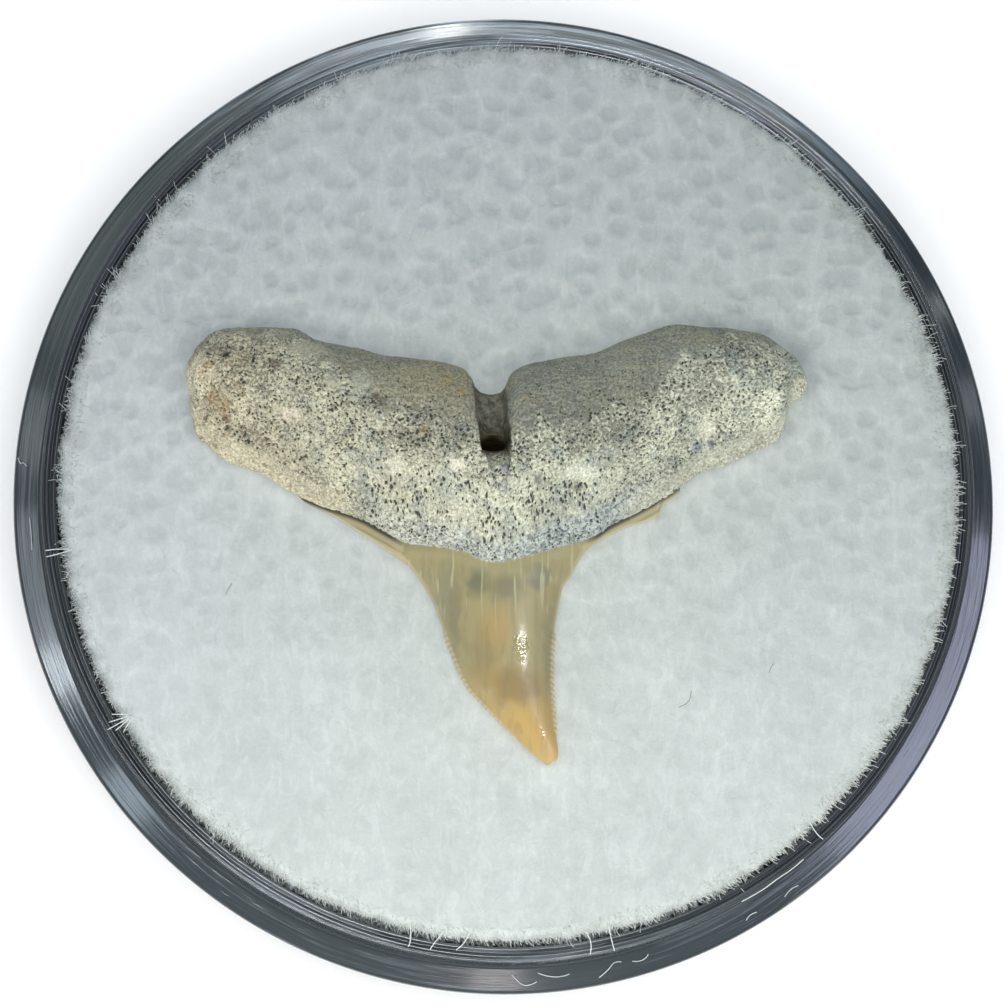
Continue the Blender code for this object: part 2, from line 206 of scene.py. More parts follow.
# Enamel heels: place along X, hidden upper edge, lower edge, half thickness.
HEEL_STATIONS = (
    (-6.13, -1.50, -1.70, 0.10),
    (-5.94, -1.20, -1.88, 0.18),
    (-5.40, -1.00, -2.16, 0.24),
    (-4.85, -1.00, -2.45, 0.28),
    (-3.92, -1.00, -3.04, 0.34),
    (-3.05, -1.00, -3.62, 0.42),
    (-2.20, -1.00, -4.10, 0.45),
    (2.20, -1.00, -4.10, 0.45),
    (3.11, -1.00, -3.35, 0.42),
    (3.60, -1.00, -3.02, 0.38),
    (4.37, -1.00, -2.64, 0.32),
    (5.20, -1.00, -2.38, 0.26),
    (5.38, -1.00, -2.24, 0.24),
    (5.46, -1.00, -1.98, 0.22),
    (5.80, -1.10, -1.74, 0.18),
    (6.05, -1.20, -1.50, 0.10),
)
HEEL_RINGS = 130
HEEL_RING_POINTS = 14
HEEL_MIDDLE_HEIGHT = 0.60

# Where the heels' rings stand closer together: from and to along X, how many more.
HEEL_DENSE_PLACE = (5, 6, 2)

# Height over which the bone goes from plain, where it lies on the pad, to weathered.
EXPOSED_HEIGHT = (0.02, 0.30)

# Broken notches of the root: centre along X, Y and Z, radius, depth.
NOTCHES = (
    (-9.66, 1.62, 1.1, 0.42, 0.44),
    (-8.90, 3.10, 2.6, 0.45, 0.16),
    (-7.90, 2.75, 3.0, 0.50, 0.18),
    (6.90, 0.20, 2.3, 0.60, 0.22),
    (-3.75, 1.15, 3.9, 0.40, 0.14),
    (3.00, -1.45, 3.7, 0.45, 0.12),
    (2.10, -1.25, 3.9, 0.35, 0.10),
)

# How far down from the root's upper edge its bone is smooth, as a share: place along X, share.
SMOOTH_SHARE = (
    (-9.6, 0.05),
    (-7.0, 0.07),
    (-5.6, 0.12),
    (-4.8, 0.26),
    (-3.5, 0.36),
    (-2.0, 0.34),
    (-0.8, 0.32),
    (0.7, 0.36),
    (2.0, 0.40),
    (3.3, 0.38),
    (4.5, 0.42),
    (5.3, 0.38),
    (6.0, 0.26),
    (7.5, 0.12),
    (9.8, 0.08),
)

# Zones of the root's bone. A pair says where a zone starts and where it is full.
ROOT_MIDDLE = -0.2
SMOOTH_BORDER = (0.10, -0.12)
SMOOTH_WAVES = ((3.1, 0, 0.03), (7.3, 2, 0.03))
STREAKS_TOP = (0.55, 0.66)
STREAKS_FOOT = (0.92, 0.84)
STREAKS_SIDES = (4.6, 3.4)
GROOVE_SIDES = (0.10, 0.02)
GROOVE_END = (-0.75, -0.35)
GROOVE_SHADE = (0.75, 0.05)
HOLE_RIM = (1.15, 0.8)
BAND_MIDDLE = 0.6
BAND_TOP = (0.95, 0.45)
BAND_SIDES = (5.2, 3.8)
LEDGE_TOP = (0.75, 0.35)
LEDGE_SIDES = (3.9, 5.0)
POROUS_BORDER = (1.0, 0.1)
CHIP_BORDER = (1.5, 0.5)
CHIP_WAVES = ((19, 7, 0.16), (-11, 23, 0.14))
RAGGED_BORDER = (0.25, 0.75)
RAGGED_REACH = 1.5

# Where the bone is more or less porous: place along X and Y, radius along X and Y, how much more.
POROUS_AREAS = (
    (-2.55, -0.05, 2.10, 1.40, 1.40),
    (-1.20, -0.10, 0.90, 0.90, 1.00),
    (-3.90, 1.00, 0.80, 0.60, 1.20),
    (-7.20, 2.05, 1.20, 0.90, 0.80),
    (-9.40, 1.90, 0.90, 1.40, -1.50),
    (3.00, 0.35, 3.20, 1.50, 1.60),
    (4.30, 1.30, 1.60, 0.80, 0.80),
    (5.35, 1.45, 1.40, 1.10, 0.70),
    (7.00, 1.40, 1.10, 0.90, 1.00),
    (0.95, -0.40, 0.90, 1.20, 0.90),
    (1.45, -1.45, 0.60, 0.45, 0.90),
    (2.65, -1.65, 0.55, 0.30, 0.90),
    (9.10, 1.00, 1.00, 1.10, -1.10),
    (0.00, -2.70, 2.80, 0.80, -0.20),
)

# Smooth chips with few pores: place along X and Y, radius along X and Y, colour.
CHIPS = (
    (6.82, 0.24, 0.30, 0.30, (0.74, 0.72, 0.58)),
    (2.72, -1.18, 0.60, 0.22, (0.72, 0.72, 0.59)),
    (-4.28, 1.66, 0.32, 0.36, (0.42, 0.44, 0.36)),
    (-5.15, 1.60, 0.30, 0.22, (0.50, 0.49, 0.38)),
    (-6.48, 0.66, 0.40, 0.20, (0.66, 0.60, 0.50)),
    (-3.16, -0.98, 0.24, 0.26, (0.70, 0.70, 0.58)),
    (-1.25, -0.98, 0.26, 0.20, (0.72, 0.71, 0.58)),
    (-5.95, 2.75, 0.60, 0.34, (0.46, 0.44, 0.35)),
)

# Marks on the bone: place along X and Y, radius, colour, strength.
BONE_MARKS = (
    (-2.27, 0.06, 0.22, (0.50, 0.36, 0.12), 0.70),
    (-3.80, 1.21, 0.15, (0.12, 0.06, 0.06), 0.75),
    (-3.68, 0.50, 0.20, (0.50, 0.55, 0.58), 0.45),
    (-8.53, 2.57, 0.20, (0.05, 0.035, 0.025), 0.90),
    (-9.07, 2.67, 0.09, (0.04, 0.03, 0.02), 0.90),
    (-9.02, 2.30, 0.24, (0.40, 0.25, 0.12), 0.65),
    (-9.32, 2.10, 0.30, (0.62, 0.50, 0.36), 0.60),
    (-8.96, 1.20, 0.26, (0.38, 0.22, 0.12), 0.65),
    (-8.45, 0.58, 0.22, (0.12, 0.07, 0.035), 0.85),
    (-8.62, 1.00, 0.50, (0.46, 0.36, 0.20), 0.50),
    (-6.98, 2.20, 0.30, (0.26, 0.20, 0.14), 0.50),
    (-7.20, -0.05, 0.10, (0.06, 0.05, 0.03), 0.80),
    (-6.75, 0.02, 0.12, (0.12, 0.07, 0.04), 0.80),
    (1.95, -0.70, 0.40, (0.60, 0.63, 0.56), 0.40),
    (6.95, -0.10, 0.18, (0.12, 0.12, 0.15), 0.70),
    (6.50, -0.25, 0.24, (0.24, 0.26, 0.31), 0.60),
    (1.40, -1.45, 0.20, (0.06, 0.06, 0.07), 0.55),
    (2.65, -1.62, 0.22, (0.07, 0.07, 0.09), 0.60),
    (3.92, -0.60, 0.14, (0.70, 0.70, 0.64), 0.50),
    (-1.12, 1.30, 0.24, (0.48, 0.34, 0.16), 0.65),
    (-1.60, 1.75, 0.34, (0.46, 0.38, 0.20), 0.55),
    (-0.95, 2.00, 0.20, (0.42, 0.34, 0.17), 0.50),
    (0.30, -1.10, 0.32, (0.36, 0.36, 0.42), 0.60),
    (0.28, -1.65, 0.30, (0.42, 0.46, 0.50), 0.55),
    (0.85, -0.55, 0.18, (0.40, 0.36, 0.46), 0.45),
    (-0.30, -0.60, 0.16, (0.34, 0.24, 0.10), 0.60),
)

# Soft patches in the enamel: place along X and Y, radius along X and Y, colour, strength.
ENAMEL_PATCHES = (
    (-0.46, -4.55, 0.36, 0.46, (0.16, 0.172, 0.115), 0.74),
    (1.45, -4.30, 0.40, 0.36, (0.17, 0.182, 0.130), 0.74),
    (0.45, -4.80, 0.60, 0.50, (0.20, 0.208, 0.135), 0.66),
    (-1.50, -4.80, 0.26, 0.90, (0.27, 0.265, 0.190), 0.60),
    (-1.15, -5.60, 0.20, 1.20, (0.22, 0.210, 0.130), 0.55),
    (-0.30, -6.90, 0.45, 0.90, (0.27, 0.215, 0.110), 0.45),
    (0.75, -7.85, 0.80, 0.62, (0.27, 0.190, 0.085), 0.70),
    (0.10, -6.10, 0.45, 0.75, (0.47, 0.320, 0.125), 0.50),
    (-0.20, -7.55, 0.50, 0.40, (0.45, 0.300, 0.120), 0.35),
    (1.80, -6.70, 0.16, 1.60, (0.26, 0.235, 0.130), 0.50),
    (1.55, -8.80, 0.50, 0.70, (0.52, 0.350, 0.125), 0.45),
)

# How strongly and how widely the bone's and the enamel's single colours are laid on.
BAND_STRENGTH = 0.85
LEDGE_STRENGTH = 0.85
GROOVE_STRENGTH = 0.85
BY_GROOVE_SPOT = ((-1.6, 1.8), (2.6, 1.6))
BY_GROOVE_STRENGTH = 0.5
CHIP_STRENGTH = 0.8
CHIP_SPREAD = 3
PATCH_SPREAD = 1.5
GLINT_SPREAD = 1.6

# Other shares and places in the finishes.
GRAIN_IN_BUMP = 0.6
LESS_GRAIN_IF_SMOOTH = 0.7
POLISHED_ROUGHNESS = 0.10
PALE_BRIGHTER = 0.9
THREAD_THINNER = 0.7
HEEL_MIDDLE = 0.1
FOLD_PLACE = 0.30

# Straight lines through a value: their slope and what they start from.
SPECKS_BY_SIDE = (-0.35, 0.75)
SHADE_IF_POROUS = (-0.15, 1.0)
PORES_BY_LEDGE = (-0.5, 0.95)
ENAMEL_ROUGHNESS = (0.25, 0.42)
GRAIN_BY_POLISH = (1.4, 0.30)

# Turned lines and blooms of the plastic: how close the lines stand, how far one runs round, the
# levels of the lines that the roughness follows and its share at each, size of the blooms.
LINE_CROWDING = 9.0
LINE_RUN = 3.0
LINE_LEVELS = (0.3, 0.7)
LINE_ROUGHNESS = (0.7, 1.5)
BLOOM_RUN = 2.0

# How far a pattern wanders: scale of its noise, reach in millimetres.
MARK_WANDER = (2.5, 0.16)
ENAMEL_WANDER = (1.8, 0.3)
HOLLOW_WANDER = (1.3, 0.20)
WISP_WANDER = (0.9, 1.2)
FELT_WANDER = (2.0, 0.4)
HAIR_WANDER = (1.5, 0.5)

# How a pattern is drawn out: its scale along each axis.
ENAMEL_STREAK_STRETCH = (1, 0.10, 0.4)
ENAMEL_LINE_STRETCH = (1, 0.07, 0.2)
ENAMEL_WAVE_STRETCH = (1, 0.3, 1)
WISP_STRETCH = (1.6, 0.7, 1)

# Colours of the bone, beside those that are settings. A pair is for its right and its left.
SHADED_BONE = 0.74
COOL_BONE = (0.36, 0.40, 0.37)
WARM_BONE = (0.50, 0.43, 0.30)
GREY_BONE = (0.29, 0.305, 0.27)
FAWN_BONE = (0.42, 0.37, 0.26)
BONE_BY_GROOVE = (0.42, 0.38, 0.24)
BAND_COLOURS = (0.53, 0.58, 0.56), (0.66, 0.67, 0.58)
BAND_SPECKS = (0.23, 0.26, 0.30)
LEDGE_COLOURS = (0.62, 0.61, 0.50), (0.68, 0.64, 0.49)
RUST = (0.26, 0.17, 0.09)
BONE_TINTS = (1.01, 1.03, 1.01), (1.055, 1.04, 0.985)
# The groove floor colour is partly its own darker tone and partly painted shade; the deep groove and hole
# colours are painted shade.
GROOVE_COLOUR = (0.135, 0.135, 0.105)
DEEP_GROOVE = (0.050, 0.044, 0.024)
HOLE_COLOUR = (0.012, 0.009, 0.004)

# Colours of the enamel, beside its setting.
TIP_COLOUR = (0.60, 0.41, 0.145)
POINT_COLOUR = (0.66, 0.50, 0.24)
ENAMEL_STREAKS = (0.25, 0.22, 0.13)
ENAMEL_LINES = (0.62, 0.60, 0.36)
ENAMEL_EDGE = (0.66, 0.57, 0.38)
SERRATION_COLOUR = (0.80, 0.74, 0.56)
ENAMEL_BY_ROOT = (0.47, 0.44, 0.24)
HEEL_INNER = (0.40, 0.36, 0.20)
HEEL_OUTER = (0.47, 0.43, 0.25)
# Painted shade along the heel's fold.
HEEL_FOLD = (0.19, 0.17, 0.09)
HEEL_EDGE = (0.62, 0.58, 0.44)
HEEL_SHADOW = (0.045, 0.045, 0.035)

# Colours of the plastic and tints of the fibre.
BLOOM_COLOUR = (0.064, 0.075, 0.082)
# Painted sheen along the turned lines.
WORN_PLASTIC = (0.150, 0.175, 0.195)
# Painted reflection on the shoulder's back and the collar's front.
PALE_PLASTIC = (0.37, 0.43, 0.48)
# Painted cool light on one side of the pad.
LILAC_TINT = (0.99, 0.99, 1.03)
# Painted shade in the pad's hollows.
HOLLOW_TINT = (0.898, 0.908, 0.905)

# Noise: scale per millimetre, detail, roughness.
NOISES = {
    "lumps": (0.45, 1.0, 0.5),
    "knobs": (1.7, 2.0, 0.6),
    "surface grain": (3.2, 3.0, 0.6),
    "ragged border": (2.2, 4.0, 0.7),
    "bone grain": (13.0, 4.0, 0.7),
    "enamel wear": (6.0, 3.0, 0.7),
    "enamel waves": (2.5, 2.0, 0.5),
    "enamel grain": (12.0, 0.0, 0.5),
    "turned lines": (1.0, 3.0, 0.6),
    "pad swell": (0.5, 2.0, 0.5),
    "pad fuzz": (4.0, 3.0, 0.6),
    "felted hair": (7.0, 3.0, 0.7),
}

# Patterns: scale, detail and roughness of their noise, the levels that they rise between, what
# they rise from and to.
PATTERNS = {
    "lighter bone": (0.6, 3.0, 0.6, 0.36, 0.64, 0.0, 1.0),
    "cool bone": (1.1, 2.0, 0.6, 0.50, 0.64, 0.0, 0.6),
    "grey bone": (1.3, 3.0, 0.6, 0.44, 0.62, 0.0, 0.6),
    "fawn bone": (0.8, 3.0, 0.6, 0.55, 0.68, 0.0, 0.5),
    "band specks": (6.5, 3.0, 0.7, 0.52, 0.62, 0.0, 1.0),
    "rust": (2.6, 3.0, 0.65, 0.54, 0.64, 0.0, 0.55),
    "groove wear": (5.0, 4.0, 0.75, 0.34, 0.66, 0.45, 1.5),
    "porous patches": (0.9, 2.0, 0.6, 0.30, 0.70, -0.05, 0.05),
    "pit size": (2.3, 3.0, 0.7, 0.34, 0.64, 0.16, 0.47),
    "enamel streaks": (4.2, 3.0, 0.6, 0.52, 0.36, 0.0, 0.30),
    "enamel lines": (7.5, 1.0, 0.5, 0.60, 0.70, 0.0, 0.55),
    "plastic bloom": (1.0, 2.0, 0.5, 0.35, 0.65, 0.0, 1.0),
    "hollow size": (0.9, 3.0, 0.7, 0.34, 0.66, 0.38, 0.68),
    "mottling": (0.45, 2.0, 0.6, 0.35, 0.65, 0.97, 1.03),
    "wisps": (1.6, 3.0, 0.6, 0.46, 0.66, 0.980, 1.055),
    "felt": (5.5, 3.0, 0.7, 0.3, 0.7, 0.965, 1.035),
    "tufts": (0.7, 2.0, 0.6, 0.35, 0.65, 0.5, 1.3),
}

# Levels of a value between which something rises, and what it rises from and to.
LEVELS = {
    "bone grain": (0.28, 0.72, 0.60, 1.36),
    "crown edge": (0.94, 0.99, 0.0, 0.6),
    "bead": (0.6, 0.95),
    "serrated edge": (0.45, 0.90, 0.0, 0.8),
    "crown by the root": (0.50, 0.10, 0.0, 0.45),
    "heels": (2.6, 3.4),
    "heel": (0.20, 0.40),
    "heel fold": (0.08, 0.0, 0.0, 0.55),
    "heel edge": (0.10, 0.02, 0.0, 0.8),
    "heel shadow": (0.16, 0.02, 0.0, 0.92),
    "above the side": (6.9, 7.3, 0.2, 1.0),
    "shoulder": (6.9, 7.3),
    "collar": (9.2, 9.7),
    "calm collar": (9.6, 9.8, 1.0, 0.15),
    "darker collar": (8.0, 9.4, 1.0, 0.40),
    "worn line": (0.52, 0.68, 0.0, 0.5),
    "pale line": (0.42, 0.58),
}

# Slow changes across a piece: their direction, the levels along it that they rise between, what
# they rise from and to.
SLOPES = {
    "knobbly left end": ((-1, 0, 0), 6.6, 8.6, 0.5, 2.0),
    "warm bone": ((-1, -0.35, 0), 4.0, 9.0, 0.0, 0.5),
    "left side": ((1, 0, 0), 2.0, -4.0, 0.0, 1.0),
    "left end": ((-1, 0, 0), 6.8, 8.4, 0.0, 1.0),
    "enamel tip": ((0, 1, 0), -6.6, -9.7, 0.0, 1.0),
    "enamel point": ((0, 1, 0), -9.5, -10.2, 0.0, 0.5),
    "lined enamel": ((0, 1, 0), -6.4, -4.6, 0.0, 1.0),
    "back of the jar": ((0.10, 0.995, 0), 0.60, 0.95, 0.0, 0.8),
    "front of the jar": ((-0.10, -0.995, 0), 0.70, 0.95, 0.0, 0.35),
    "deeper hollows": ((0, 1, 0), -9.0, 5.0, 0.35, 1.0),
    "brighter front": ((0, 1, 0), 11.0, -11.0, 0.96, 1.13),
    "lilac side": ((-0.7, 0.7, 0), -4.0, 12.0, 0.0, 1.0),
}

# Pores: how far their pattern wanders and how it is drawn out in the streaks, the web of gaps
# between ridges, and the round pits.
PORE_WANDER = (3.0, 0.09)
STREAK_STRETCH = (1.3, 0.46, 0.8)
SMOOTH_CLOSES = 0.42
CHIP_CLOSES = -0.8
WEB_SCALE = 1.30
WEB_NOISE = (2.0, 0.6)
STREAK_NOISE = (1.0, 0.5)
WEB_MORE_IF_POROUS = -0.05
GAP_LEVELS = (0.52, 0.40)
GAP_DEPTH = 0.58
GAP_LESS_IN_STREAKS = -0.45
PIT_MORE_IF_POROUS = 0.09
PIT_MORE_IN_STREAKS = 0.07
SMALLEST_PIT = 0.01
PIT_FLOOR = 0.62

# Polished places of the crown: along X and Y, radius along X and Y, radiance of their glint.
GLINTS = (
    (0.93, -6.60, 0.24, 0.52, 170),
    (1.62, -9.28, 0.10, 0.20, 45),
)

# Jar: a cup with an outer shoulder and a thin raised collar, as in its solid.
JAR_CORNERS = (
    (0.00, 1.20, 0.00),
    (14.45, 1.20, 0.50),
    (14.50, 9.97, 0.03),
    (14.58, 10.10, 0.04),
    (14.69, 9.98, 0.02),
    (14.81, 10.10, 0.04),
    (14.90, 10.00, 0.02),
    (14.98, 10.05, 0.03),
    (14.98, 7.66, 0.12),
    (15.875, 7.52, 0.14),
    (15.35, 0.00, 0.35),
    (0.00, 0.00, 0.00),
)
SHOULDER_INNER, SHOULDER_OUTER = JAR_CORNERS[8][:2], JAR_CORNERS[9][:2]
JAR_STEPS = 360
ARC_STEPS = 6

# Pad: its profile from the middle of its top over its round edge to its underside.
PAD_CELLS = 292
PAD_EDGE_ROUND = 0.30
PAD_FOOT_ROUND = 0.45
PAD_EDGE_HEIGHT = 10.30
PAD_TOP_POINTS = 60
PAD_EDGE_POINTS = 20
PAD_FOOT_POINTS = 8
PAD_TOP_SHARE = 0.97

# How the pad's edge is tufted and drawn out: waves round it, their height, shift along X and Y.
TUFT_WAVES = (17, 41, 67, 97, 139)
TUFT_HEIGHT = 0.11
EDGE_SHIFT = (0.06, 0.16)
EDGE_DRAWN_IN = -0.01
EDGE_WIDTH = (13.6, 14.3)
SWOLLEN_HEIGHT = (10.11, 10.22)
DRAWN_IN_HEIGHT = (9.2, 9.9)

# How the pad gives way under the tooth and swells beside it.
PAD_TOP_LEVEL = 9.9
PAD_RISE = 0.20
TOOTH_GAP = 0.01
SWELL_LEVEL = 0.1
SWELL_SEARCH = 1.2
SWELL_WIDTH = 0.55
SWELL_HEIGHT = 0.22

# Where the pad's top and side are free to take hollows, and where fibres are strewn on them.
COVERED_LEVEL = 10
FREE_HEIGHT = (3, 5)
STREWN_RADIUS = 14.0
EDGE_INNER = 13.9
EDGE_OUTER = 14.4
EDGE_LEVEL = 9.7
EDGE_DEPTH = 0.5

# Loose fibres: name, whether they lie on the top or stand at the edge, shortest, longest, seed.
FIBRE_SETS = (
    ("pad_fibres", True, 0.4, 1.6, 3),
    ("pad_edge_fibres", False, 0.07, 0.20, 8),
    ("pad_outer_fibres", False, 0.10, 0.42, 21),
)
LYING_ARC = ((-0.5, 0, 0), (0, 0.5, 0.05), (0.5, 0, 0))
LYING_TILT = 0.08
LYING_LIFT = (-0.006, 0.012)
LYING_CURL = (0.30, 0.30, 0.10)
LYING_THINNER = 0.8
STANDING_ARC = ((0, 0, -0.15), (0, 0.1, 0.55), (0.35, 0, 1))
STANDING_LEAN = ((-0.7, -0.7, -0.5), (0.7, 0.7, 0.6))
STANDING_CURL = (0.16, 0.16, 0.16)
CURL_SCALE = 1.4
CAST_FROM = 3
CAST_REACH = 6

# How far the shading of loose fibres is turned upward, so that their undersides stay light.
UPWARD_PULL = (0, 0, 1.5)

# Loose threads of lint on the jar: points as angle in degrees, radius and height.
LINT = (
    ((175.0, 15.78, 7.70), (175.8, 15.70, 7.78), (175.4, 15.60, 7.70), (175.9, 15.48, 7.72)),
    ((182.0, 15.35, 7.66), (184.0, 15.30, 7.70), (186.0, 15.34, 7.64)),
    ((187.2, 14.95, 10.1), (187.2, 14.60, 10.3), (187.5, 14.2, 10.4)),
    ((188.0, 14.95, 10.2), (188.0, 14.60, 10.35), (187.6, 14.1, 10.4)),
    ((209.3, 14.55, 10.2), (209.8, 14.35, 10.4), (210.4, 14.1, 10.35)),
    ((210.0, 14.75, 10.2), (210.3, 14.50, 10.4), (210.6, 14.1, 10.35)),
    ((210.7, 14.90, 10.15), (210.8, 14.50, 10.4), (210.8, 14.1, 10.35)),
    ((211.3, 14.70, 10.2), (211.2, 14.45, 10.4), (210.9, 14.1, 10.35)),
    ((212.0, 14.52, 10.2), (211.6, 14.35, 10.4), (211.1, 14.1, 10.35)),
    ((257.5, 14.85, 10.1), (257.8, 14.60, 10.3), (257.0, 14.15, 10.35)),
    ((260.2, 14.80, 10.1), (260.6, 14.55, 10.3), (261.6, 14.15, 10.35)),
    ((263.4, 14.70, 10.15), (264.4, 14.50, 10.3), (264.8, 14.15, 10.35)),
    ((270.8, 15.22, 7.66), (271.4, 15.45, 7.72), (272.6, 15.66, 7.62), (273.8, 15.50, 7.70)),
    ((274.0, 15.22, 7.66), (276.0, 15.50, 7.72), (277.8, 15.35, 7.66)),
    ((280.0, 14.95, 10.1), (280.6, 14.55, 10.45), (279.8, 14.2, 10.35)),
    ((283.0, 15.00, 10.1), (282.8, 14.5, 10.4), (282.9, 14.1, 10.35)),
    ((285.5, 15.35, 7.66), (286.8, 15.50, 7.70), (287.6, 15.28, 7.66)),
    ((281.2, 15.62, 7.66), (282.4, 15.46, 7.72), (283.4, 15.20, 7.70), (284.2, 15.28, 7.66)),
    (
        (299.8, 15.00, 10.02), (302.5, 15.04, 9.92), (305.0, 14.99, 10.06), (307.0, 15.03, 9.95),
        (309.0, 15.00, 10.03),
    ),
    ((300.0, 15.55, 7.66), (300.7, 15.42, 7.72), (301.6, 15.50, 7.66)),
    ((305.4, 15.58, 7.66), (306.5, 15.45, 7.72), (307.5, 15.55, 7.66)),
    ((312.4, 14.92, 10.1), (312.0, 14.6, 10.35), (312.6, 14.2, 10.3)),
)

# Dark hairs lying on the pad, in the same terms.
DARK_HAIRS = (
    ((312.7, 8.58, 10.44), (311.4, 8.76, 10.50), (309.8, 8.80, 10.48), (308.3, 8.71, 10.42)),
    ((198.3, 9.35, 10.44), (199.0, 9.50, 10.47), (199.9, 9.65, 10.42)),
    ((327.3, 10.05, 10.44), (326.6, 10.02, 10.48), (325.6, 10.08, 10.43)),
)

# Stage: half the floor's width in metres and its mottling, the sky, the width that the frame shows
# and the point that the camera looks at in millimetres, its tilt to the left and front in degrees.
FLOOR_HALF = 0.6
FLOOR_MOTTLING = (30.0, 2.0)
FLOOR_SHADE = 0.985
SKY_COLOUR = (0.62, 0.82, 1.0, 1)
FRAME_WIDTH = 32.48
CAMERA_TILT = (3.0, 6.3)
CAMERA_AIM = Vector((-0.075, 0, 7.6))
LIT_MIDDLE = Vector((0, 0, 10))

# Lights in metres: size, distance, and radiance or colour where they aren't settings. A glint's
# light is so many times as wide as the polished place that shows it.
KEY_SIZE = (0.03, 0.03)
KEY_DISTANCE = 0.050
KEY_COLOUR = (1.0, 0.98, 0.97)
FILL_SIZE = (0.06, 0.03)
FLOOR_LIGHT_SIZE = (0.6, 0.6)
FLOOR_LIGHT_PLACE = (0.0, 0.0, 0.5)
FLOOR_LIGHT_RADIANCE = 2.8
RIDGE_LAMP_SIZE = (0.05, 0.05)
RIDGE_LAMP_DISTANCE = 0.25
RIDGE_LAMP_RADIANCE = 42
PANEL_HEIGHT = 0.14
GLINT_DISTANCE = 0.035
GLINT_WIDER = 15
ABOVE_TOOTH = 20 * MM

# Lights that the camera sees in the jar's shoulder: from and to these angles, distance, radiance,
# colour. Lamps stand nearer than the panels, so that no panel hides them.
SHOULDER_LIGHTS = (
    ("violet_panel", -56, -1, 0.35, 4.6, (0.72, 0.74, 1.0)),
    ("right_lamp", 7, 13, 0.32, 1.8, (0.85, 0.92, 1.0)),
    ("upper_right_lamp", 21, 24, 0.32, 3.0, (0.92, 0.97, 1.0)),
    ("top_panel", 40, 132, 0.35, 2.7, (0.90, 0.98, 1.0)),
    ("top_lamp", 96, 102, 0.32, 15.0, (1.0, 0.99, 0.95)),
    ("left_panel", -144, -135, 0.35, 5.0, (0.72, 0.87, 1.0)),
    ("left_lamp", -159, -152, 0.32, 9.0, (0.84, 0.93, 1.0)),
    ("left_soft_panel", -178, -149, 0.35, 2.3, (0.80, 0.91, 1.0)),
    ("low_left_panel", -190, -178, 0.35, 1.6, (0.90, 0.97, 1.0)),
    ("side_panel", -243, -190, 0.35, 0.8, (0.90, 1.0, 0.92)),
    ("low_panel", -136, -48, 0.35, 0.3, (0.88, 0.96, 1.0)),
    ("low_lamp", -97, -90, 0.32, 5.0, (1.0, 0.92, 0.94)),
)

# Low lights round the jar that only the jar shades: place, share of the front light, colour.
FILLS = (
    ("front", (0.0, -0.055, 0.045), 1.0, (1.0, 0.96, 0.92)),
    ("back_fill", (0.0, 0.055, 0.045), 0.14, (0.97, 0.98, 1.0)),
    ("left_fill", (-0.055, 0.0, 0.045), 0.25, (1.0, 0.98, 0.96)),
    ("right_fill", (0.055, 0.0, 0.045), 0.22, (1.0, 0.98, 0.96)),
)


class ToothSettings(bpy.types.PropertyGroup):
    """Sizes and colours of the tooth."""

    lump_height: bpy.props.FloatProperty(
        name="Lump Height", description="Height of the root's soft lumps", default=0.14 * MM,
        min=0, unit="LENGTH", precision=5,
    )
    pore_spacing: bpy.props.FloatProperty(
        name="Pore Spacing", description="Distance between the root's pores", default=0.13 * MM,
        min=0.05 * MM, unit="LENGTH", precision=5,
    )
    pore_depth: bpy.props.FloatProperty(
        name="Pore Depth", description="Depth of the root's pores", default=0.10 * MM,
        min=0, unit="LENGTH", precision=5,
    )
    serration_pitch: bpy.props.FloatProperty(
        name="Serration Pitch", description="Distance between the crown's serrations",
        default=0.18 * MM, min=0.05 * MM, unit="LENGTH", precision=5,
    )
    serration_height: bpy.props.FloatProperty(
        name="Serration Height", description="How far each serration stands out",
        default=0.08 * MM, min=0, unit="LENGTH", precision=5,
    )
    bone: bpy.props.FloatVectorProperty(
        name="Bone", description="Colour of the root's bone", subtype="COLOR",
        default=(0.70, 0.70, 0.555), min=0, max=1,
    )
    smooth_bone: bpy.props.FloatVectorProperty(
        name="Smooth Bone", description="Colour of the smooth bone along the upper edge",
        subtype="COLOR", default=(0.375, 0.37, 0.29), min=0, max=1,
    )
    # Painted shade: the dark colour laid in the pores stands partly for their own darker fill and partly
    # for the shade deep in them.
    pores: bpy.props.FloatVectorProperty(
        name="Pores", description="Colour deep in the pores", subtype="COLOR",
        default=(0.045, 0.050, 0.045), min=0, max=1,
    )
    enamel: bpy.props.FloatVectorProperty(
        name="Enamel", description="Colour of the crown's enamel", subtype="COLOR",
        default=(0.40, 0.345, 0.175), min=0, max=1,
    )


class PadSettings(bpy.types.PropertyGroup):
    """Sizes and colours of the fibre pad."""

    hollow_spacing: bpy.props.FloatProperty(
        name="Hollow Spacing", description="Distance between the small hollows in the fibre mat",
        default=0.82 * MM, min=0.1 * MM, unit="LENGTH", precision=5,
    )
    hollow_depth: bpy.props.FloatProperty(
        name="Hollow Depth", description="Depth of the small hollows",
        default=0.05 * MM, min=0, unit="LENGTH", precision=5,
    )
    fibre_thickness: bpy.props.FloatProperty(
        name="Fibre Thickness", description="Diameter of one fibre", default=0.022 * MM,
        min=0.005 * MM, unit="LENGTH", precision=6,
    )
    fibre_count: bpy.props.IntProperty(
        name="Fibres", description="About how many fibres lie on the pad", default=1000, min=0,
    )
    edge_fibre_count: bpy.props.IntProperty(
        name="Edge Fibres", description="About how many fibres stand out from the pad's edge",
        default=15000, min=0,
    )
    fibre: bpy.props.FloatVectorProperty(
        name="Fibre", description="Colour of the fibres", subtype="COLOR",
        default=(0.570, 0.612, 0.592), min=0, max=1,
    )


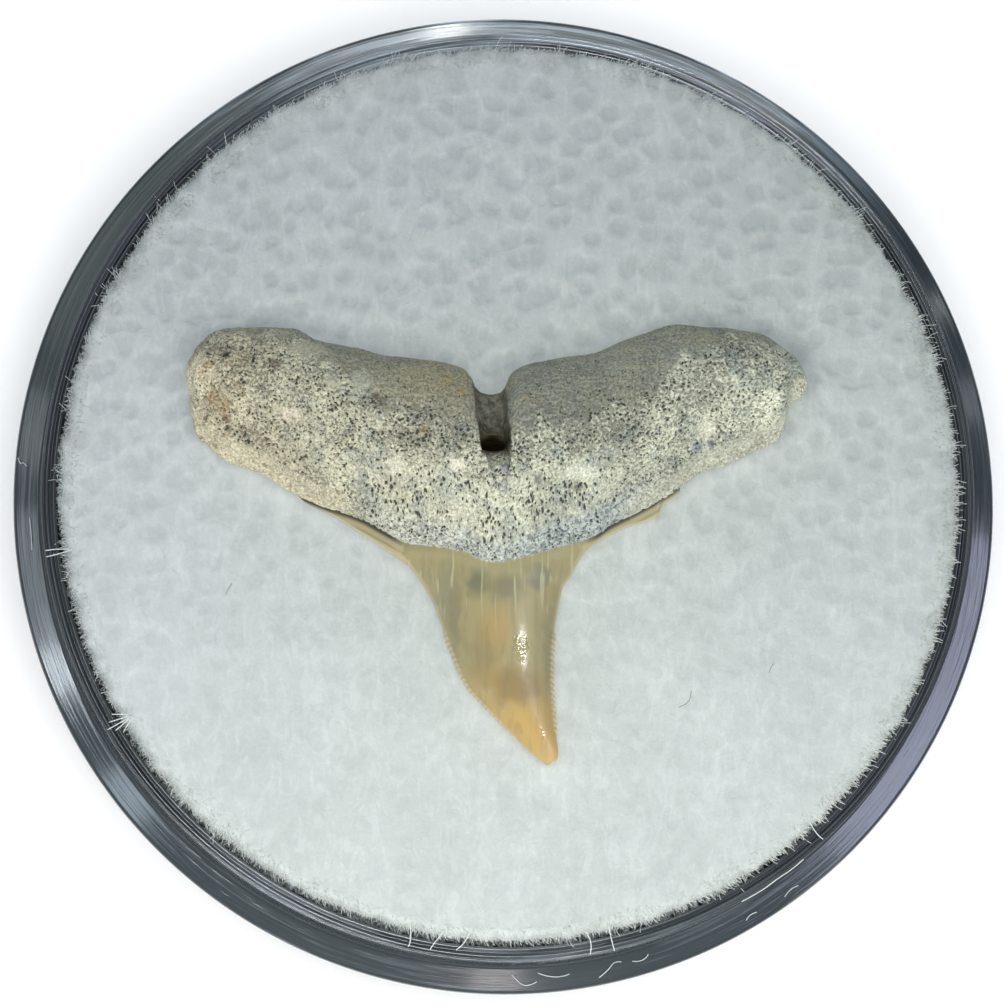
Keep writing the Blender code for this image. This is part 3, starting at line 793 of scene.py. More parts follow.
class JarSettings(bpy.types.PropertyGroup):
    """Finish of the jar."""

    plastic: bpy.props.FloatVectorProperty(
        name="Plastic", description="Colour of the jar's plastic", subtype="COLOR",
        default=(0.050, 0.060, 0.066), min=0, max=1,
    )
    roughness: bpy.props.FloatProperty(
        name="Roughness", description="Roughness of the moulded plastic", default=0.09,
        min=0, max=1, subtype="FACTOR",
    )
    lint_thickness: bpy.props.FloatProperty(
        name="Lint Thickness", description="Diameter of a loose thread", default=0.030 * MM,
        min=0.005 * MM, unit="LENGTH", precision=6,
    )


class StageSettings(bpy.types.PropertyGroup):
    """Floor, light and camera."""

    floor: bpy.props.FloatVectorProperty(
        name="Floor", description="Colour of the floor", subtype="COLOR",
        default=(0.95, 0.95, 0.95), min=0, max=1,
    )
    key_power: bpy.props.FloatProperty(
        name="Key Light", description="Power of the light above the tooth", default=0.0098, min=0,
        unit="POWER",
    )
    front_power: bpy.props.FloatProperty(
        name="Front Light", description="Power of the low light from the crown's side",
        default=0.0266, min=0, unit="POWER",
    )
    sky: bpy.props.FloatProperty(
        name="Sky", description="Brightness of the even light from all round", default=0.22, min=0,
    )
    camera_distance: bpy.props.FloatProperty(
        name="Camera Distance", description="Distance from the jar to the camera", default=0.300,
        min=0.1, unit="LENGTH",
    )


class Nodes:
    """Adds nodes to a shader or geometry tree and gives back their outputs."""

    def __init__(self, tree):
        self.tree = tree

    def add(self, kind, inputs=(), **settings):
        made = self.tree.nodes.new(kind)
        for name, value in settings.items():
            setattr(made, name, value)
        self.dress(made, inputs)
        return made

    def dress(self, made, inputs):
        """Sets or links a node's inputs, by name or number."""
        for key, value in dict(inputs).items():
            self.feed(made.inputs[key], value)

    def feed(self, socket, value):
        if isinstance(value, bpy.types.NodeSocket):
            self.tree.links.new(value, socket)
        elif value is not None:
            socket.default_value = value

    def math(self, operation, first, second=None, third=None):
        inputs = {0: first, 1: second, 2: third}
        return self.add("ShaderNodeMath", inputs, operation=operation).outputs[0]

    def times(self, first, *others):
        """The numbers multiplied together, in this order."""
        for other in others:
            first = self.math("MULTIPLY", first, other)
        return first

    def vector(self, operation, first, second=None, scale=None):
        made = self.add("ShaderNodeVectorMath", {0: first, 1: second}, operation=operation)
        if scale is not None:
            self.feed(made.inputs["Scale"], scale)
        return made.outputs["Value" if operation in ("LENGTH", "DOT_PRODUCT") else "Vector"]

    def flat(self, place):
        """The place as seen from above."""
        return self.vector("MULTIPLY", place, (1, 1, 0))

    def on_axis(self, axis, value):
        """Vector of this length along one axis."""
        return self.add("ShaderNodeCombineXYZ", {axis: value}).outputs[0]

    def line(self, value, slope, start):
        """The value times this slope, from this start."""
        return self.math("MULTIPLY_ADD", value, slope, start)

    def step(self, value, start, end, low=0.0, high=1.0):
        """Smooth step of the value from low at start to high at end."""
        return self.add(
            "ShaderNodeMapRange",
            {"Value": value, "From Min": start, "From Max": end, "To Min": low, "To Max": high},
            interpolation_type="SMOOTHSTEP",
        ).outputs[0]

    def noise(self, place, scale, detail=2.0, roughness=0.5, output=0):
        return self.add(
            "ShaderNodeTexNoise",
            {"Vector": place, "Scale": scale, "Detail": detail, "Roughness": roughness},
        ).outputs[output]

    def ripple(self, place, name):
        """The named noise, about zero."""
        return self.math("SUBTRACT", self.noise(place, *NOISES[name]), 0.5)

    def drift(self, place, scale, detail):
        """Noise vector about zero."""
        return self.vector("SUBTRACT", self.noise(place, scale, detail, output=1), (0.5, 0.5, 0.5))

    def pattern(self, place, name):
        """The named pattern of patches."""
        *noise, start, end, low, high = PATTERNS[name]
        return self.step(self.noise(place, *noise), start, end, low, high)

    def slope(self, place, name):
        """The named slow change across the piece."""
        direction, *levels = SLOPES[name]
        return self.step(self.vector("DOT_PRODUCT", place, direction), *levels)

    def cells(self, place, scale, dimensions="3D"):
        return self.add(
            "ShaderNodeTexVoronoi", {"Vector": place, "Scale": scale}, voronoi_dimensions=dimensions
        ).outputs["Distance"]

    def mix(self, factor, first, second):
        made = self.add("ShaderNodeMix", {0: factor, 2: first, 3: second}, data_type="FLOAT")
        return made.outputs[0]

    def colour(self, factor, first, second):
        first, second = (
            value if isinstance(value, bpy.types.NodeSocket) else (*value[:3], 1)
            for value in (first, second)
        )
        made = self.add("ShaderNodeMix", {0: factor, 6: first, 7: second}, data_type="RGBA")
        return made.outputs[2]

    def lay(self, colour, over, *factors):
        """The colour with another laid over it, as strongly as these factors multiplied."""
        return self.colour(self.times(*factors), colour, over)

    def wandering(self, place, scale, reach):
        """The place, shifted by up to about this reach by noise of this scale."""
        shift = self.drift(place, scale, 1.0)
        return self.vector("ADD", place, self.vector("SCALE", shift, scale=reach * 2))

    def nearby(self, place, centre, radius):
        """1 at this centre, fading to 0 at the radius, seen along Z; radius may differ by axis."""
        away = self.vector("SUBTRACT", place, (centre[0], centre[1], 0))
        away = self.vector("MULTIPLY", away, (1 / radius[0], 1 / radius[1], 0))
        return self.step(self.vector("LENGTH", away), 1.0, SPOT_CORE)

    def bump(self, height, strength, distance, normal=None):
        """Shading normal of a surface with this height."""
        inputs = {"Height": height, "Strength": strength, "Distance": distance, "Normal": normal}
        return self.add("ShaderNodeBump", inputs).outputs[0]

    def shifted(self, geometry, offset):
        """The geometry's points moved by this vector."""
        inputs = {"Geometry": geometry, "Offset": offset}
        return self.add("GeometryNodeSetPosition", inputs).outputs[0]

    def pushed(self, geometry, distance):
        """The geometry's points moved this far along their normals."""
        normal = self.add("GeometryNodeInputNormal").outputs[0]
        return self.shifted(geometry, self.vector("SCALE", normal, scale=distance))


def smooth_through(stations, places):
    """Columns of the stations at these places, on curves that never overshoot a station."""
    table = np.array(stations, float)
    known = table[:, 0]
    step = np.diff(known)
    columns = []
    for values in table[:, 1:].T:
        slope = np.diff(values) / step
        turn = slope[:-1] * slope[1:] <= 0
        safe = np.where(turn, 1, slope[:-1] + slope[1:])
        inner = np.where(turn, 0, 2 * slope[:-1] * slope[1:] / safe)
        tangent = np.concatenate(([slope[0]], inner, [slope[-1]]))
        left = np.clip(np.searchsorted(known, places, side="right") - 1, 0, len(step) - 1)
        t = np.clip((places - known[left]) / step[left], 0, 1)
        columns.append(
            (2 * t**3 - 3 * t**2 + 1) * values[left]
            + (t**3 - 2 * t**2 + t) * step[left] * tangent[left]
            + (3 * t**2 - 2 * t**3) * values[left + 1]
            + (t**3 - t**2) * step[left] * tangent[left + 1]
        )
    return np.array(columns).T


def down_through(stations, places):
    """The same for stations that are listed from high to low along Y."""
    return smooth_through([(-y, *rest) for y, *rest in stations], -places)


def ease(values, start, end):
    """Smooth step from 0 at start to 1 at end."""
    t = np.clip((values - start) / (end - start), 0, 1)
    return t * t * (3 - 2 * t)


def waves(x, y, table):
    """Sum of waves, each by its turns along X and Y and its height."""
    return sum(height * np.sin(x * by_x + y * by_y) for by_x, by_y, height in table)


def spread(first, last, count, density):
    """Places from first to last that stand closer together where the density is higher."""
    fine = np.linspace(first, last, FINE_STEPS)
    share = np.concatenate(([0], np.cumsum(density(fine[:-1]))))
    return np.interp(np.linspace(0, share[-1], count), share, fine)


def lengths_along(points):
    """How far along a line of points each of them lies."""
    return np.concatenate(([0], np.cumsum(np.linalg.norm(np.diff(points, axis=0), axis=1))))


def evenly(points, count):
    """This many points at equal distances along a line of many points."""
    lengths = lengths_along(points)
    even = np.linspace(0, lengths[-1], count)
    return np.stack([np.interp(even, lengths, column) for column in points.T], axis=1)


def skin(name, rings, turned=False):
    """Closed mesh over rings of equal length in the tooth's millimetres, set in place."""
    rings = np.array(rings)
    count = rings.shape[1]
    points = np.concatenate([rings.reshape(-1, 3), rings[[0, -1]].mean(axis=1)])
    first_pole, last_pole = len(points) - 2, len(points) - 1
    last_ring = (len(rings) - 1) * count
    here = np.arange(count)
    after = (here + 1) % count
    start = np.arange(0, last_ring, count)[:, None]
    corners = [start + here, start + after, start + count + after, start + count + here]
    faces = np.stack(corners, axis=2).reshape(-1, 4).tolist()
    pairs = list(zip(here.tolist(), after.tolist()))
    faces += [(first_pole, b, a) for a, b in pairs]
    faces += [(last_pole, last_ring + a, last_ring + b) for a, b in pairs]
    mesh = bpy.data.meshes.new(name)
    mesh.from_pydata((points * MM + np.array(TOOTH_PLACE)).tolist(), [], faces)
    if turned:
        mesh.flip_normals()
    mesh.shade_smooth()
    return mesh


def add_object(name, data):
    made = bpy.data.objects.new(name, data)
    bpy.context.scene.collection.objects.link(made)
    return made


def plain_mesh(made):
    """Puts the object's evaluated mesh in place of its own and takes its modifiers off."""
    graph = bpy.context.evaluated_depsgraph_get()
    result = bpy.data.meshes.new_from_object(
        made.evaluated_get(graph), preserve_all_data_layers=True, depsgraph=graph
    )
    result.name = made.name
    made.modifiers.clear()
    made.data = result


def points_of(mesh):
    """The mesh's points in metres."""
    points = np.empty(len(mesh.vertices) * 3)
    mesh.vertices.foreach_get("co", points)
    return points.reshape(-1, 3)


def places_of(mesh):
    """The mesh's points in the tooth's own millimetres."""
    return (points_of(mesh) - np.array(TOOTH_PLACE)) / MM


def store(mesh, name, values):
    """Keeps one number or one vector for each of the mesh's points."""
    kind, key = ("FLOAT_VECTOR", "vector") if values.ndim == 2 else ("FLOAT", "value")
    field = mesh.attributes.get(name)
    if field is None:
        field = mesh.attributes.new(name, kind, "POINT")
    field.data.foreach_set(key, np.ascontiguousarray(values, np.float32).ravel())


def stored(mesh, name):
    """A vector that was kept for each of the mesh's points."""
    values = np.empty(len(mesh.vertices) * 3, np.float32)
    mesh.attributes[name].data.foreach_get("vector", values)
    return values.reshape(-1, 3).astype(float)


def named(make, name, kind="FLOAT"):
    """A kept number or vector, in a geometry tree or a material."""
    if make.tree.type == "GEOMETRY":
        made = make.add("GeometryNodeInputNamedAttribute", {"Name": name}, data_type=kind)
        return made.outputs["Attribute"]
    made = make.add("ShaderNodeAttribute", attribute_name=name)
    return made.outputs["Vector" if kind == "FLOAT_VECTOR" else "Fac"]


def reshape(made, name, draw, values):
    """Runs the object's mesh through a geometry tree, for good, and sets its finish.

    The tree has an input for each of these values, and draw adds its nodes.
    """
    kinds = {float: "NodeSocketFloat", int: "NodeSocketInt", bpy.types.Material: "NodeSocketMaterial"}
    tree = bpy.data.node_groups.new(name, "GeometryNodeTree")
    tree.interface.new_socket("Geometry", in_out="INPUT", socket_type="NodeSocketGeometry")
    sockets = {
        label: tree.interface.new_socket(label, in_out="INPUT", socket_type=kinds[type(value)])
        for label, value in values.items()
    }
    tree.interface.new_socket("Geometry", in_out="OUTPUT", socket_type="NodeSocketGeometry")
    make = Nodes(tree)
    given = make.add("NodeGroupInput").outputs
    real = make.add("GeometryNodeRealizeInstances", {0: draw(make, given)}).outputs[0]
    dressed = make.add("GeometryNodeSetMaterial", {"Geometry": real, "Material": given["Finish"]})
    make.add("NodeGroupOutput", {0: dressed.outputs[0]})
    modifier = made.modifiers.new(name, "NODES")
    modifier.node_group = tree
    for label, value in values.items():
        modifier[sockets[label].identifier] = value
    plain_mesh(made)


def ragged(make, place, name):
    """A kept zone of the bone, its border broken up by noise."""
    shift = make.ripple(place, "ragged border")
    edge = make.math("MULTIPLY_ADD", shift, RAGGED_REACH, named(make, name))
    return make.step(edge, *RAGGED_BORDER)


def pore_field(make, place, spacing):
    """How deep the bone's pores are, from 0 on the ridges between them to 1 inside one."""
    warped = make.wandering(place, *PORE_WANDER)
    stretched = make.vector("MULTIPLY", warped, STREAK_STRETCH)
    streaks, porous = named(make, "streaks"), named(make, "porous")
    closed = make.times(ragged(make, place, "smooth"), SMOOTH_CLOSES)
    open_bone = make.math("SUBTRACT", 1.0, closed)

    web_scale = make.math("DIVIDE", WEB_SCALE, spacing)
    ridges = make.noise(warped, web_scale, *WEB_NOISE)
    web = make.mix(streaks, ridges, make.noise(stretched, web_scale, *STREAK_NOISE))
    web = make.math("ADD", web, make.pattern(place, "porous patches"))
    web = make.math("MULTIPLY_ADD", porous, WEB_MORE_IF_POROUS, web)
    less = make.math("MULTIPLY_ADD", streaks, GAP_LESS_IN_STREAKS, 1.0)
    gaps = make.times(make.step(web, *GAP_LEVELS), make.times(open_bone, GAP_DEPTH), less)

    pit_scale = make.math("DIVIDE", 1.0, spacing)
    pits = make.mix(streaks, make.cells(warped, pit_scale), make.cells(stretched, pit_scale))
    size = make.pattern(place, "pit size")
    size = make.math("MULTIPLY_ADD", porous, PIT_MORE_IF_POROUS, size)
    size = make.math("MULTIPLY_ADD", streaks, PIT_MORE_IN_STREAKS, size)
    size = make.math("MAXIMUM", make.times(size, open_bone), SMALLEST_PIT)
    pits = make.step(pits, size, make.times(size, PIT_FLOOR))
    unchipped = make.math("MULTIPLY_ADD", ragged(make, place, "chip"), CHIP_CLOSES, 1.0)
    return make.times(make.math("MAXIMUM", gaps, pits), unchipped)


def rise(across, width, fullness):
    """Rounded step from 0 to 1 over this width."""
    near = 1 - np.minimum(across / width, 1)
    return (1 - near**fullness) ** (1 / fullness)


def root_heights(across, upper, lower, crest, lip, ledge):
    """Heights of the root's upper side and underside at these shares of its depth."""
    beyond = np.maximum(across - CREST_PLACE, 0) / (1 - CREST_PLACE)
    body = lip + (crest - lip) * (0.5 + 0.5 * np.cos(math.pi * beyond))
    to_lower_edge = (upper - lower) * (1 - across)
    on_ledge = np.clip(0.5 + (ledge - to_lower_edge) / LEDGE_SLOPE, 0, 1)
    body = body - LEDGE_DROP * lip * on_ledge * min(ledge / LEDGE_SLOPE, 1)
    edge = body * (UPPER_EDGE_SHARE + (LOWER_EDGE_SHARE - UPPER_EDGE_SHARE) * across)
    upper_side = rise(across, UPPER_ROUND, UPPER_FULLNESS)
    lower_side = rise(1 - across, LOWER_ROUND, LOWER_FULLNESS)
    above = edge + (body - edge) * upper_side * lower_side
    below = edge * (1 - rise(across, UPPER_ROUND / 2, LOWER_FULLNESS) * lower_side)
    return above, below


def into_hole(x, y):
    """How far out from the hole's centre a place is along X and Y, as shares of the hole's size."""
    return (x - HOLE_CENTRE[0]) / HOLE_HALF_SIZE[0], (y - HOLE_CENTRE[1]) / HOLE_HALF_SIZE[1]


def carved(x, depth, height):
    """The root's height with its groove, rounded at the lips, and the hole in the groove's floor."""
    centre, half, floor = down_through(GROOVE_STATIONS, depth).T
    from_centre = np.abs(x - centre)
    bowed = floor + GROOVE_BOW * np.clip(from_centre / half, 0, 1) ** 4
    groove = bowed + np.maximum(from_centre - half, 0) * GROOVE_WALL_SLOPE
    groove = np.where(depth < GROOVE_STATIONS[-1][0], math.inf, groove)
    mingled = np.maximum(GROOVE_LIP - np.abs(height - groove), 0) / GROOVE_LIP
    cut = np.minimum(height, groove) - mingled**2 * GROOVE_LIP / 4
    reach = sum(np.abs(share) ** power for share, power in zip(into_hole(x, depth), HOLE_POWERS))
    return cut - HOLE_DEPTH * ease(1 - reach**HOLE_ROUNDING, 0, HOLE_WALL)


def root_mesh():
    def density(x):
        return sum(
            (
                more * np.exp(-(np.abs((x - centre) / width) ** power))
                for centre, width, power, more in ROOT_DENSE_PLACES
            ),
            1,
        )

    places = spread(ROOT_STATIONS[0][0], ROOT_STATIONS[-1][0], ROOT_RINGS, density)
    across = (1 - np.cos(np.linspace(0, math.pi, ROOT_FINE_POINTS))) / 2
    rings = []
    for x, values in zip(places, smooth_through(ROOT_STATIONS, places)):
        above, below = root_heights(across, *values)
        depth = values[0] + (values[1] - values[0]) * across
        top = evenly(np.stack([depth, carved(x, depth, above)], axis=1), ROOT_TOP_POINTS)
        under = evenly(np.stack([depth, below], axis=1)[::-1], ROOT_UNDER_POINTS)
        ring = np.concatenate([top[:-1], under[:-1]])
        rings.append(np.insert(ring, 0, x, axis=1))
    return skin("root", rings)


def crown_mesh():
    """Crown without its serrations, with how far along its edges each point lies."""

    def density(y):
        return sum((more * ease(y, start, end) for start, end, more in CROWN_DENSE_PLACES), 1)

    places = spread(CROWN_STATIONS[0][0], CROWN_STATIONS[-1][0], CROWN_RINGS, density)
    columns = down_through(CROWN_STATIONS, places)
    turn = np.linspace(0, 2 * math.pi, CROWN_RING_POINTS, endpoint=False)
    side = -np.cos(turn)
    fullness = np.maximum(1 - np.abs(side) ** CROWN_SIDES, 0)
    edge = CROWN_EDGE_HEIGHT
    below = edge + (CROWN_UNDERSIDE - edge) * fullness**CROWN_OUTER_FULLNESS
    rings = []
    for y, (left, right, ridge) in zip(places, columns):
        above = edge + (ridge - edge) * fullness**CROWN_INNER_FULLNESS
        width = (left + right) / 2 + (right - left) / 2 * side
        height = np.where(turn < math.pi, above, below)
        rings.append(np.stack([width, np.full_like(width, y), height], axis=1))
    mesh = skin("crown", rings, turned=True)
    edges = np.sign(side) * ease(np.abs(side), *SERRATED_BAND)
    grow = ease(places, SERRATED_FROM, SERRATED_FROM - SERRATIONS_GROW_OVER)
    fade = ease(places, SERRATED_TO - SERRATIONS_FADE_OVER, SERRATED_TO)
    slant = np.hypot(np.gradient(columns[:, :2], places, axis=0), 1)
    along = np.cumsum(np.abs(np.gradient(places))[:, None] * slant, axis=0)
    by_point = np.where(side[None, :] < 0, along[:, :1], along[:, 1:])
    store(mesh, "edge", np.append((grow * fade)[:, None] * edges[None, :], [0, 0]))
    store(mesh, "along", np.append(by_point, [0, 0]))
    return mesh


def heel_mesh():
    def density(x):
        start, end, more = HEEL_DENSE_PLACE
        return 1 + more * ease(np.abs(x), start, end)

    places = spread(HEEL_STATIONS[0][0], HEEL_STATIONS[-1][0], HEEL_RINGS, density)
    turn = np.linspace(0, 2 * math.pi, HEEL_RING_POINTS, endpoint=False)
    rings = []
    for x, (upper, lower, half_thickness) in zip(places, smooth_through(HEEL_STATIONS, places)):
        depth = (upper + lower) / 2 + (upper - lower) / 2 * np.cos(turn)
        height = HEEL_MIDDLE_HEIGHT + half_thickness * np.sin(turn)
        rings.append(np.stack([np.full_like(depth, x), depth, height], axis=1))
    return skin("heels", rings)


def near_places(x, y, area):
    """How far out from an area's centre these places are, as shares of its radius."""
    centre_x, centre_y, wide, long = area
    return np.hypot((x - centre_x) / wide, (y - centre_y) / long)


def store_zones(mesh, places):
    """Keeps where the root's bone is porous, chipped, smooth, streaked, grooved, banded or ledged."""
    x, y = places[:, 0], places[:, 1]
    upper, lower = smooth_through(ROOT_STATIONS, x)[:, :2].T
    across = np.clip((upper - y) / (upper - lower), 0, 1)
    to_lower_edge = y - lower
    from_middle = np.abs(x - ROOT_MIDDLE)
    centre, half, _ = down_through(GROOVE_STATIONS, y).T
    groove = ease(np.abs(x - centre) - half, *GROOVE_SIDES) * ease(y, *GROOVE_END)
    porous, chip = np.zeros(len(x)), np.zeros(len(x))
    for *area, more in POROUS_AREAS:
        porous += more * ease(near_places(x, y, area), *POROUS_BORDER)
    for *area, _ in CHIPS:
        away = near_places(x, y, area) + waves(x, y, CHIP_WAVES)
        chip = np.maximum(chip, ease(away, *CHIP_BORDER))
    limit = np.interp(x, *np.array(SMOOTH_SHARE).T) + waves(x, y, SMOOTH_WAVES)
    smooth = ease(across, limit + SMOOTH_BORDER[0], limit + SMOOTH_BORDER[1])
    streaks = ease(across, *STREAKS_TOP) * ease(across, *STREAKS_FOOT)
    zones = {
        "porous": porous,
        "chip": chip,
        "smooth": np.maximum(smooth, groove),
        "streaks": streaks * ease(from_middle, *STREAKS_SIDES),
        "groove": groove,
        "hole": ease(np.hypot(*into_hole(x, y)), *HOLE_RIM),
        "shade": groove * ease(y, *GROOVE_SHADE),
        "band": ease(to_lower_edge, *BAND_TOP) * ease(np.abs(x - BAND_MIDDLE), *BAND_SIDES),
        "ledge": ease(to_lower_edge, *LEDGE_TOP) * ease(from_middle, *LEDGE_SIDES),
    }
    for name, values in zones.items():
        store(mesh, name, values)


def weathered(make, given):
    """The root moved by lumps, grain and pores, and into its broken notches."""
    place = named(make, "bone", "FLOAT_VECTOR")
    knobs = make.times(make.ripple(place, "knobs"), make.slope(place, "knobbly left end"))
    lumps = make.math("ADD", make.ripple(place, "lumps"), knobs)
    rough = make.math("SUBTRACT", 1.0, make.times(named(make, "smooth"), LESS_GRAIN_IF_SMOOTH))
    grain = make.times(make.ripple(place, "surface grain"), rough)
    pores = pore_field(make, place, given["Pore Spacing"])
    notch = make.times(named(make, "notch"), -MM)
    move = make.math("MULTIPLY_ADD", lumps, given["Lump Height"], notch)
    move = make.math("MULTIPLY_ADD", grain, GRAIN_HEIGHT * MM, move)
    move = make.math("SUBTRACT", move, make.times(pores, given["Pore Depth"]))
    return make.pushed(given["Geometry"], make.times(move, named(make, "exposed")))


def bead(make, pitch):
    """Row of rounded beads along the crown's edges, from 0 between them to 1 on each."""
    turn = make.math("DIVIDE", make.times(named(make, "along"), math.pi), pitch)
    return make.math("ABSOLUTE", make.math("SINE", turn))


def serrated(make, given):
    """The crown with a row of small rounded teeth drawn out of both of its edges."""
    move = make.times(bead(make, given["Pitch"]), named(make, "edge"), given["Height"])
    return make.shifted(given["Geometry"], make.on_axis("X", move))


def new_finish(name):
    made = bpy.data.materials.new(name)
    made.use_nodes = True
    return made, Nodes(made.node_tree), made.node_tree.nodes["Principled BSDF"]


def shaded_place(make, origin=(0, 0, 0)):
    """The shaded point in millimetres from this origin."""
    inputs = {
        "Vector": make.add("ShaderNodeTexCoord").outputs["Object"],
        "Location": tuple(Vector(origin) * (-1 / MM)),
        "Scale": (1 / MM,) * 3,
    }
    return make.add("ShaderNodeMapping", inputs).outputs[0]


def cream_bone(make, place, settings):
    """Cream bone in lighter and cooler patches, warmer towards its left end."""
    bone = tuple(settings.bone)
    shaded = tuple(channel * SHADED_BONE for channel in bone)
    colour = make.colour(make.pattern(place, "lighter bone"), shaded, bone)
    colour = make.lay(colour, COOL_BONE, make.pattern(place, "cool bone"))
    return make.lay(colour, WARM_BONE, make.slope(place, "warm bone"))


def with_smooth_bone(make, place, colour, settings):
    """The smooth bone along the upper edge, grey and fawn in patches."""
    smooth = ragged(make, place, "smooth")
    colour = make.lay(colour, tuple(settings.smooth_bone), smooth)
    colour = make.lay(colour, GREY_BONE, smooth, make.pattern(place, "grey bone"))
    colour = make.lay(colour, FAWN_BONE, smooth, make.pattern(place, "fawn bone"))
    by_groove = make.nearby(place, *BY_GROOVE_SPOT)
    return make.lay(colour, BONE_BY_GROOVE, smooth, by_groove, BY_GROOVE_STRENGTH)


def with_lower_edge(make, place, colour, leftward):
    """The pale, speckled band above the crown, the beige ledges and the rusty left end."""
    band = named(make, "band")
    colour = make.lay(colour, make.colour(leftward, *BAND_COLOURS), band, BAND_STRENGTH)
    specks = make.times(make.pattern(place, "band specks"), make.line(leftward, *SPECKS_BY_SIDE))
    colour = make.lay(colour, BAND_SPECKS, specks, band)
    ledge = make.colour(leftward, *LEDGE_COLOURS)
    colour = make.lay(colour, ledge, named(make, "ledge"), LEDGE_STRENGTH)
    return make.lay(colour, RUST, make.slope(place, "left end"), make.pattern(place, "rust"))


def with_marks(make, place, colour):
    """The smooth chips and the bone's single marks."""
    on_chip = make.times(ragged(make, place, "chip"), CHIP_STRENGTH)
    for x, y, wide, long, chip in CHIPS:
        near = make.nearby(place, (x, y), (wide * CHIP_SPREAD, long * CHIP_SPREAD))
        colour = make.lay(colour, chip, near, on_chip)
    marked = make.wandering(make.flat(place), *MARK_WANDER)
    for x, y, radius, mark, strength in BONE_MARKS:
        near = make.nearby(marked, (x, y), (radius, radius))
        colour = make.lay(colour, mark, near, strength)
    return colour


def with_groove(make, place, colour):
    """The groove's floor in its own darker tone and painted shade, deepest towards the hole, with worn
    texture, and the hole painted dark as shade.
    """
    floor = make.colour(named(make, "shade"), GROOVE_COLOUR, DEEP_GROOVE)
    floor = make.vector("SCALE", floor, scale=make.pattern(place, "groove wear"))
    colour = make.lay(colour, floor, named(make, "groove"), GROOVE_STRENGTH)
    return make.lay(colour, HOLE_COLOUR, named(make, "hole"))


def bone_finish(settings):
    """Porous fossil bone: cream ridges round pores painted dark, for their own darker fill and for the
    shade deep in them, greyer and smoother along its upper edge.
    """
    finish, make, shader = new_finish("fossil_bone")
    place = named(make, "bone", "FLOAT_VECTOR")
    leftward = make.slope(place, "left side")
    grain = make.noise(place, *NOISES["bone grain"])
    pores = pore_field(make, place, settings.pore_spacing / MM)

    colour = cream_bone(make, place, settings)
    colour = with_smooth_bone(make, place, colour, settings)
    colour = with_lower_edge(make, place, colour, leftward)
    colour = with_marks(make, place, colour)
    darker = make.line(named(make, "porous"), *SHADE_IF_POROUS)
    grained = make.times(make.step(grain, *LEVELS["bone grain"]), darker)
    tint = make.vector("SCALE", make.colour(leftward, *BONE_TINTS), scale=grained)
    colour = make.vector("MULTIPLY", colour, tint)
    # The pores are painted dark, partly their own darker fill and partly painted shade deep in the pits.
    shown = make.line(ragged(make, place, "ledge"), *PORES_BY_LEDGE)
    colour = make.lay(colour, tuple(settings.pores), pores, shown)
    height = make.math("SUBTRACT", make.times(grain, GRAIN_IN_BUMP), pores)
    make.dress(shader, {
        "Base Color": with_groove(make, place, colour),
        "Roughness": 0.82,
        "Specular IOR Level": 0.25,
        "Normal": make.bump(height, strength=0.6, distance=0.03 * MM),
    })
    return finish


def crown_colour(make, place, soft, below, settings):
    """Tan enamel with olive patches, streaks, pale lines and edges, and an orange tip."""
    colour = make.colour(make.slope(place, "enamel tip"), tuple(settings.enamel), TIP_COLOUR)
    for x, y, wide, long, patch, strength in ENAMEL_PATCHES:
        near = make.nearby(soft, (x, y), (wide * PATCH_SPREAD, long * PATCH_SPREAD))
        colour = make.lay(colour, patch, near, strength)
    drawn_out = make.vector("MULTIPLY", place, ENAMEL_STREAK_STRETCH)
    colour = make.lay(colour, ENAMEL_STREAKS, make.pattern(drawn_out, "enamel streaks"))
    drawn_out = make.vector("MULTIPLY", place, ENAMEL_LINE_STRETCH)
    lines = make.pattern(drawn_out, "enamel lines")
    colour = make.lay(colour, ENAMEL_LINES, lines, make.slope(place, "lined enamel"))
    rim = make.step(make.math("ABSOLUTE", named(make, "side")), *LEVELS["crown edge"])
    colour = make.lay(colour, ENAMEL_EDGE, rim)
    beads = make.step(bead(make, settings.serration_pitch / MM), *LEVELS["bead"])
    at_edge = make.step(make.math("ABSOLUTE", named(make, "edge")), *LEVELS["serrated edge"])
    colour = make.lay(colour, SERRATION_COLOUR, beads, at_edge)
    colour = make.lay(colour, POINT_COLOUR, make.slope(place, "enamel point"))
    return make.lay(colour, ENAMEL_BY_ROOT, make.step(below, *LEVELS["crown by the root"]))


def heel_colour(make, below):
    """Duller enamel of the heels, with painted shade along a fold, a pale rim and the root's painted
    shadow along its top.
    """
    colour = make.colour(make.step(below, *LEVELS["heel"]), HEEL_INNER, HEEL_OUTER)
    fold = make.math("ABSOLUTE", make.math("SUBTRACT", below, FOLD_PLACE))
    colour = make.lay(colour, HEEL_FOLD, make.step(fold, *LEVELS["heel fold"]))
    rim = make.step(named(make, "heel_rim"), *LEVELS["heel edge"])
    colour = make.lay(colour, HEEL_EDGE, rim)
    return make.lay(colour, HEEL_SHADOW, make.step(below, *LEVELS["heel shadow"]))


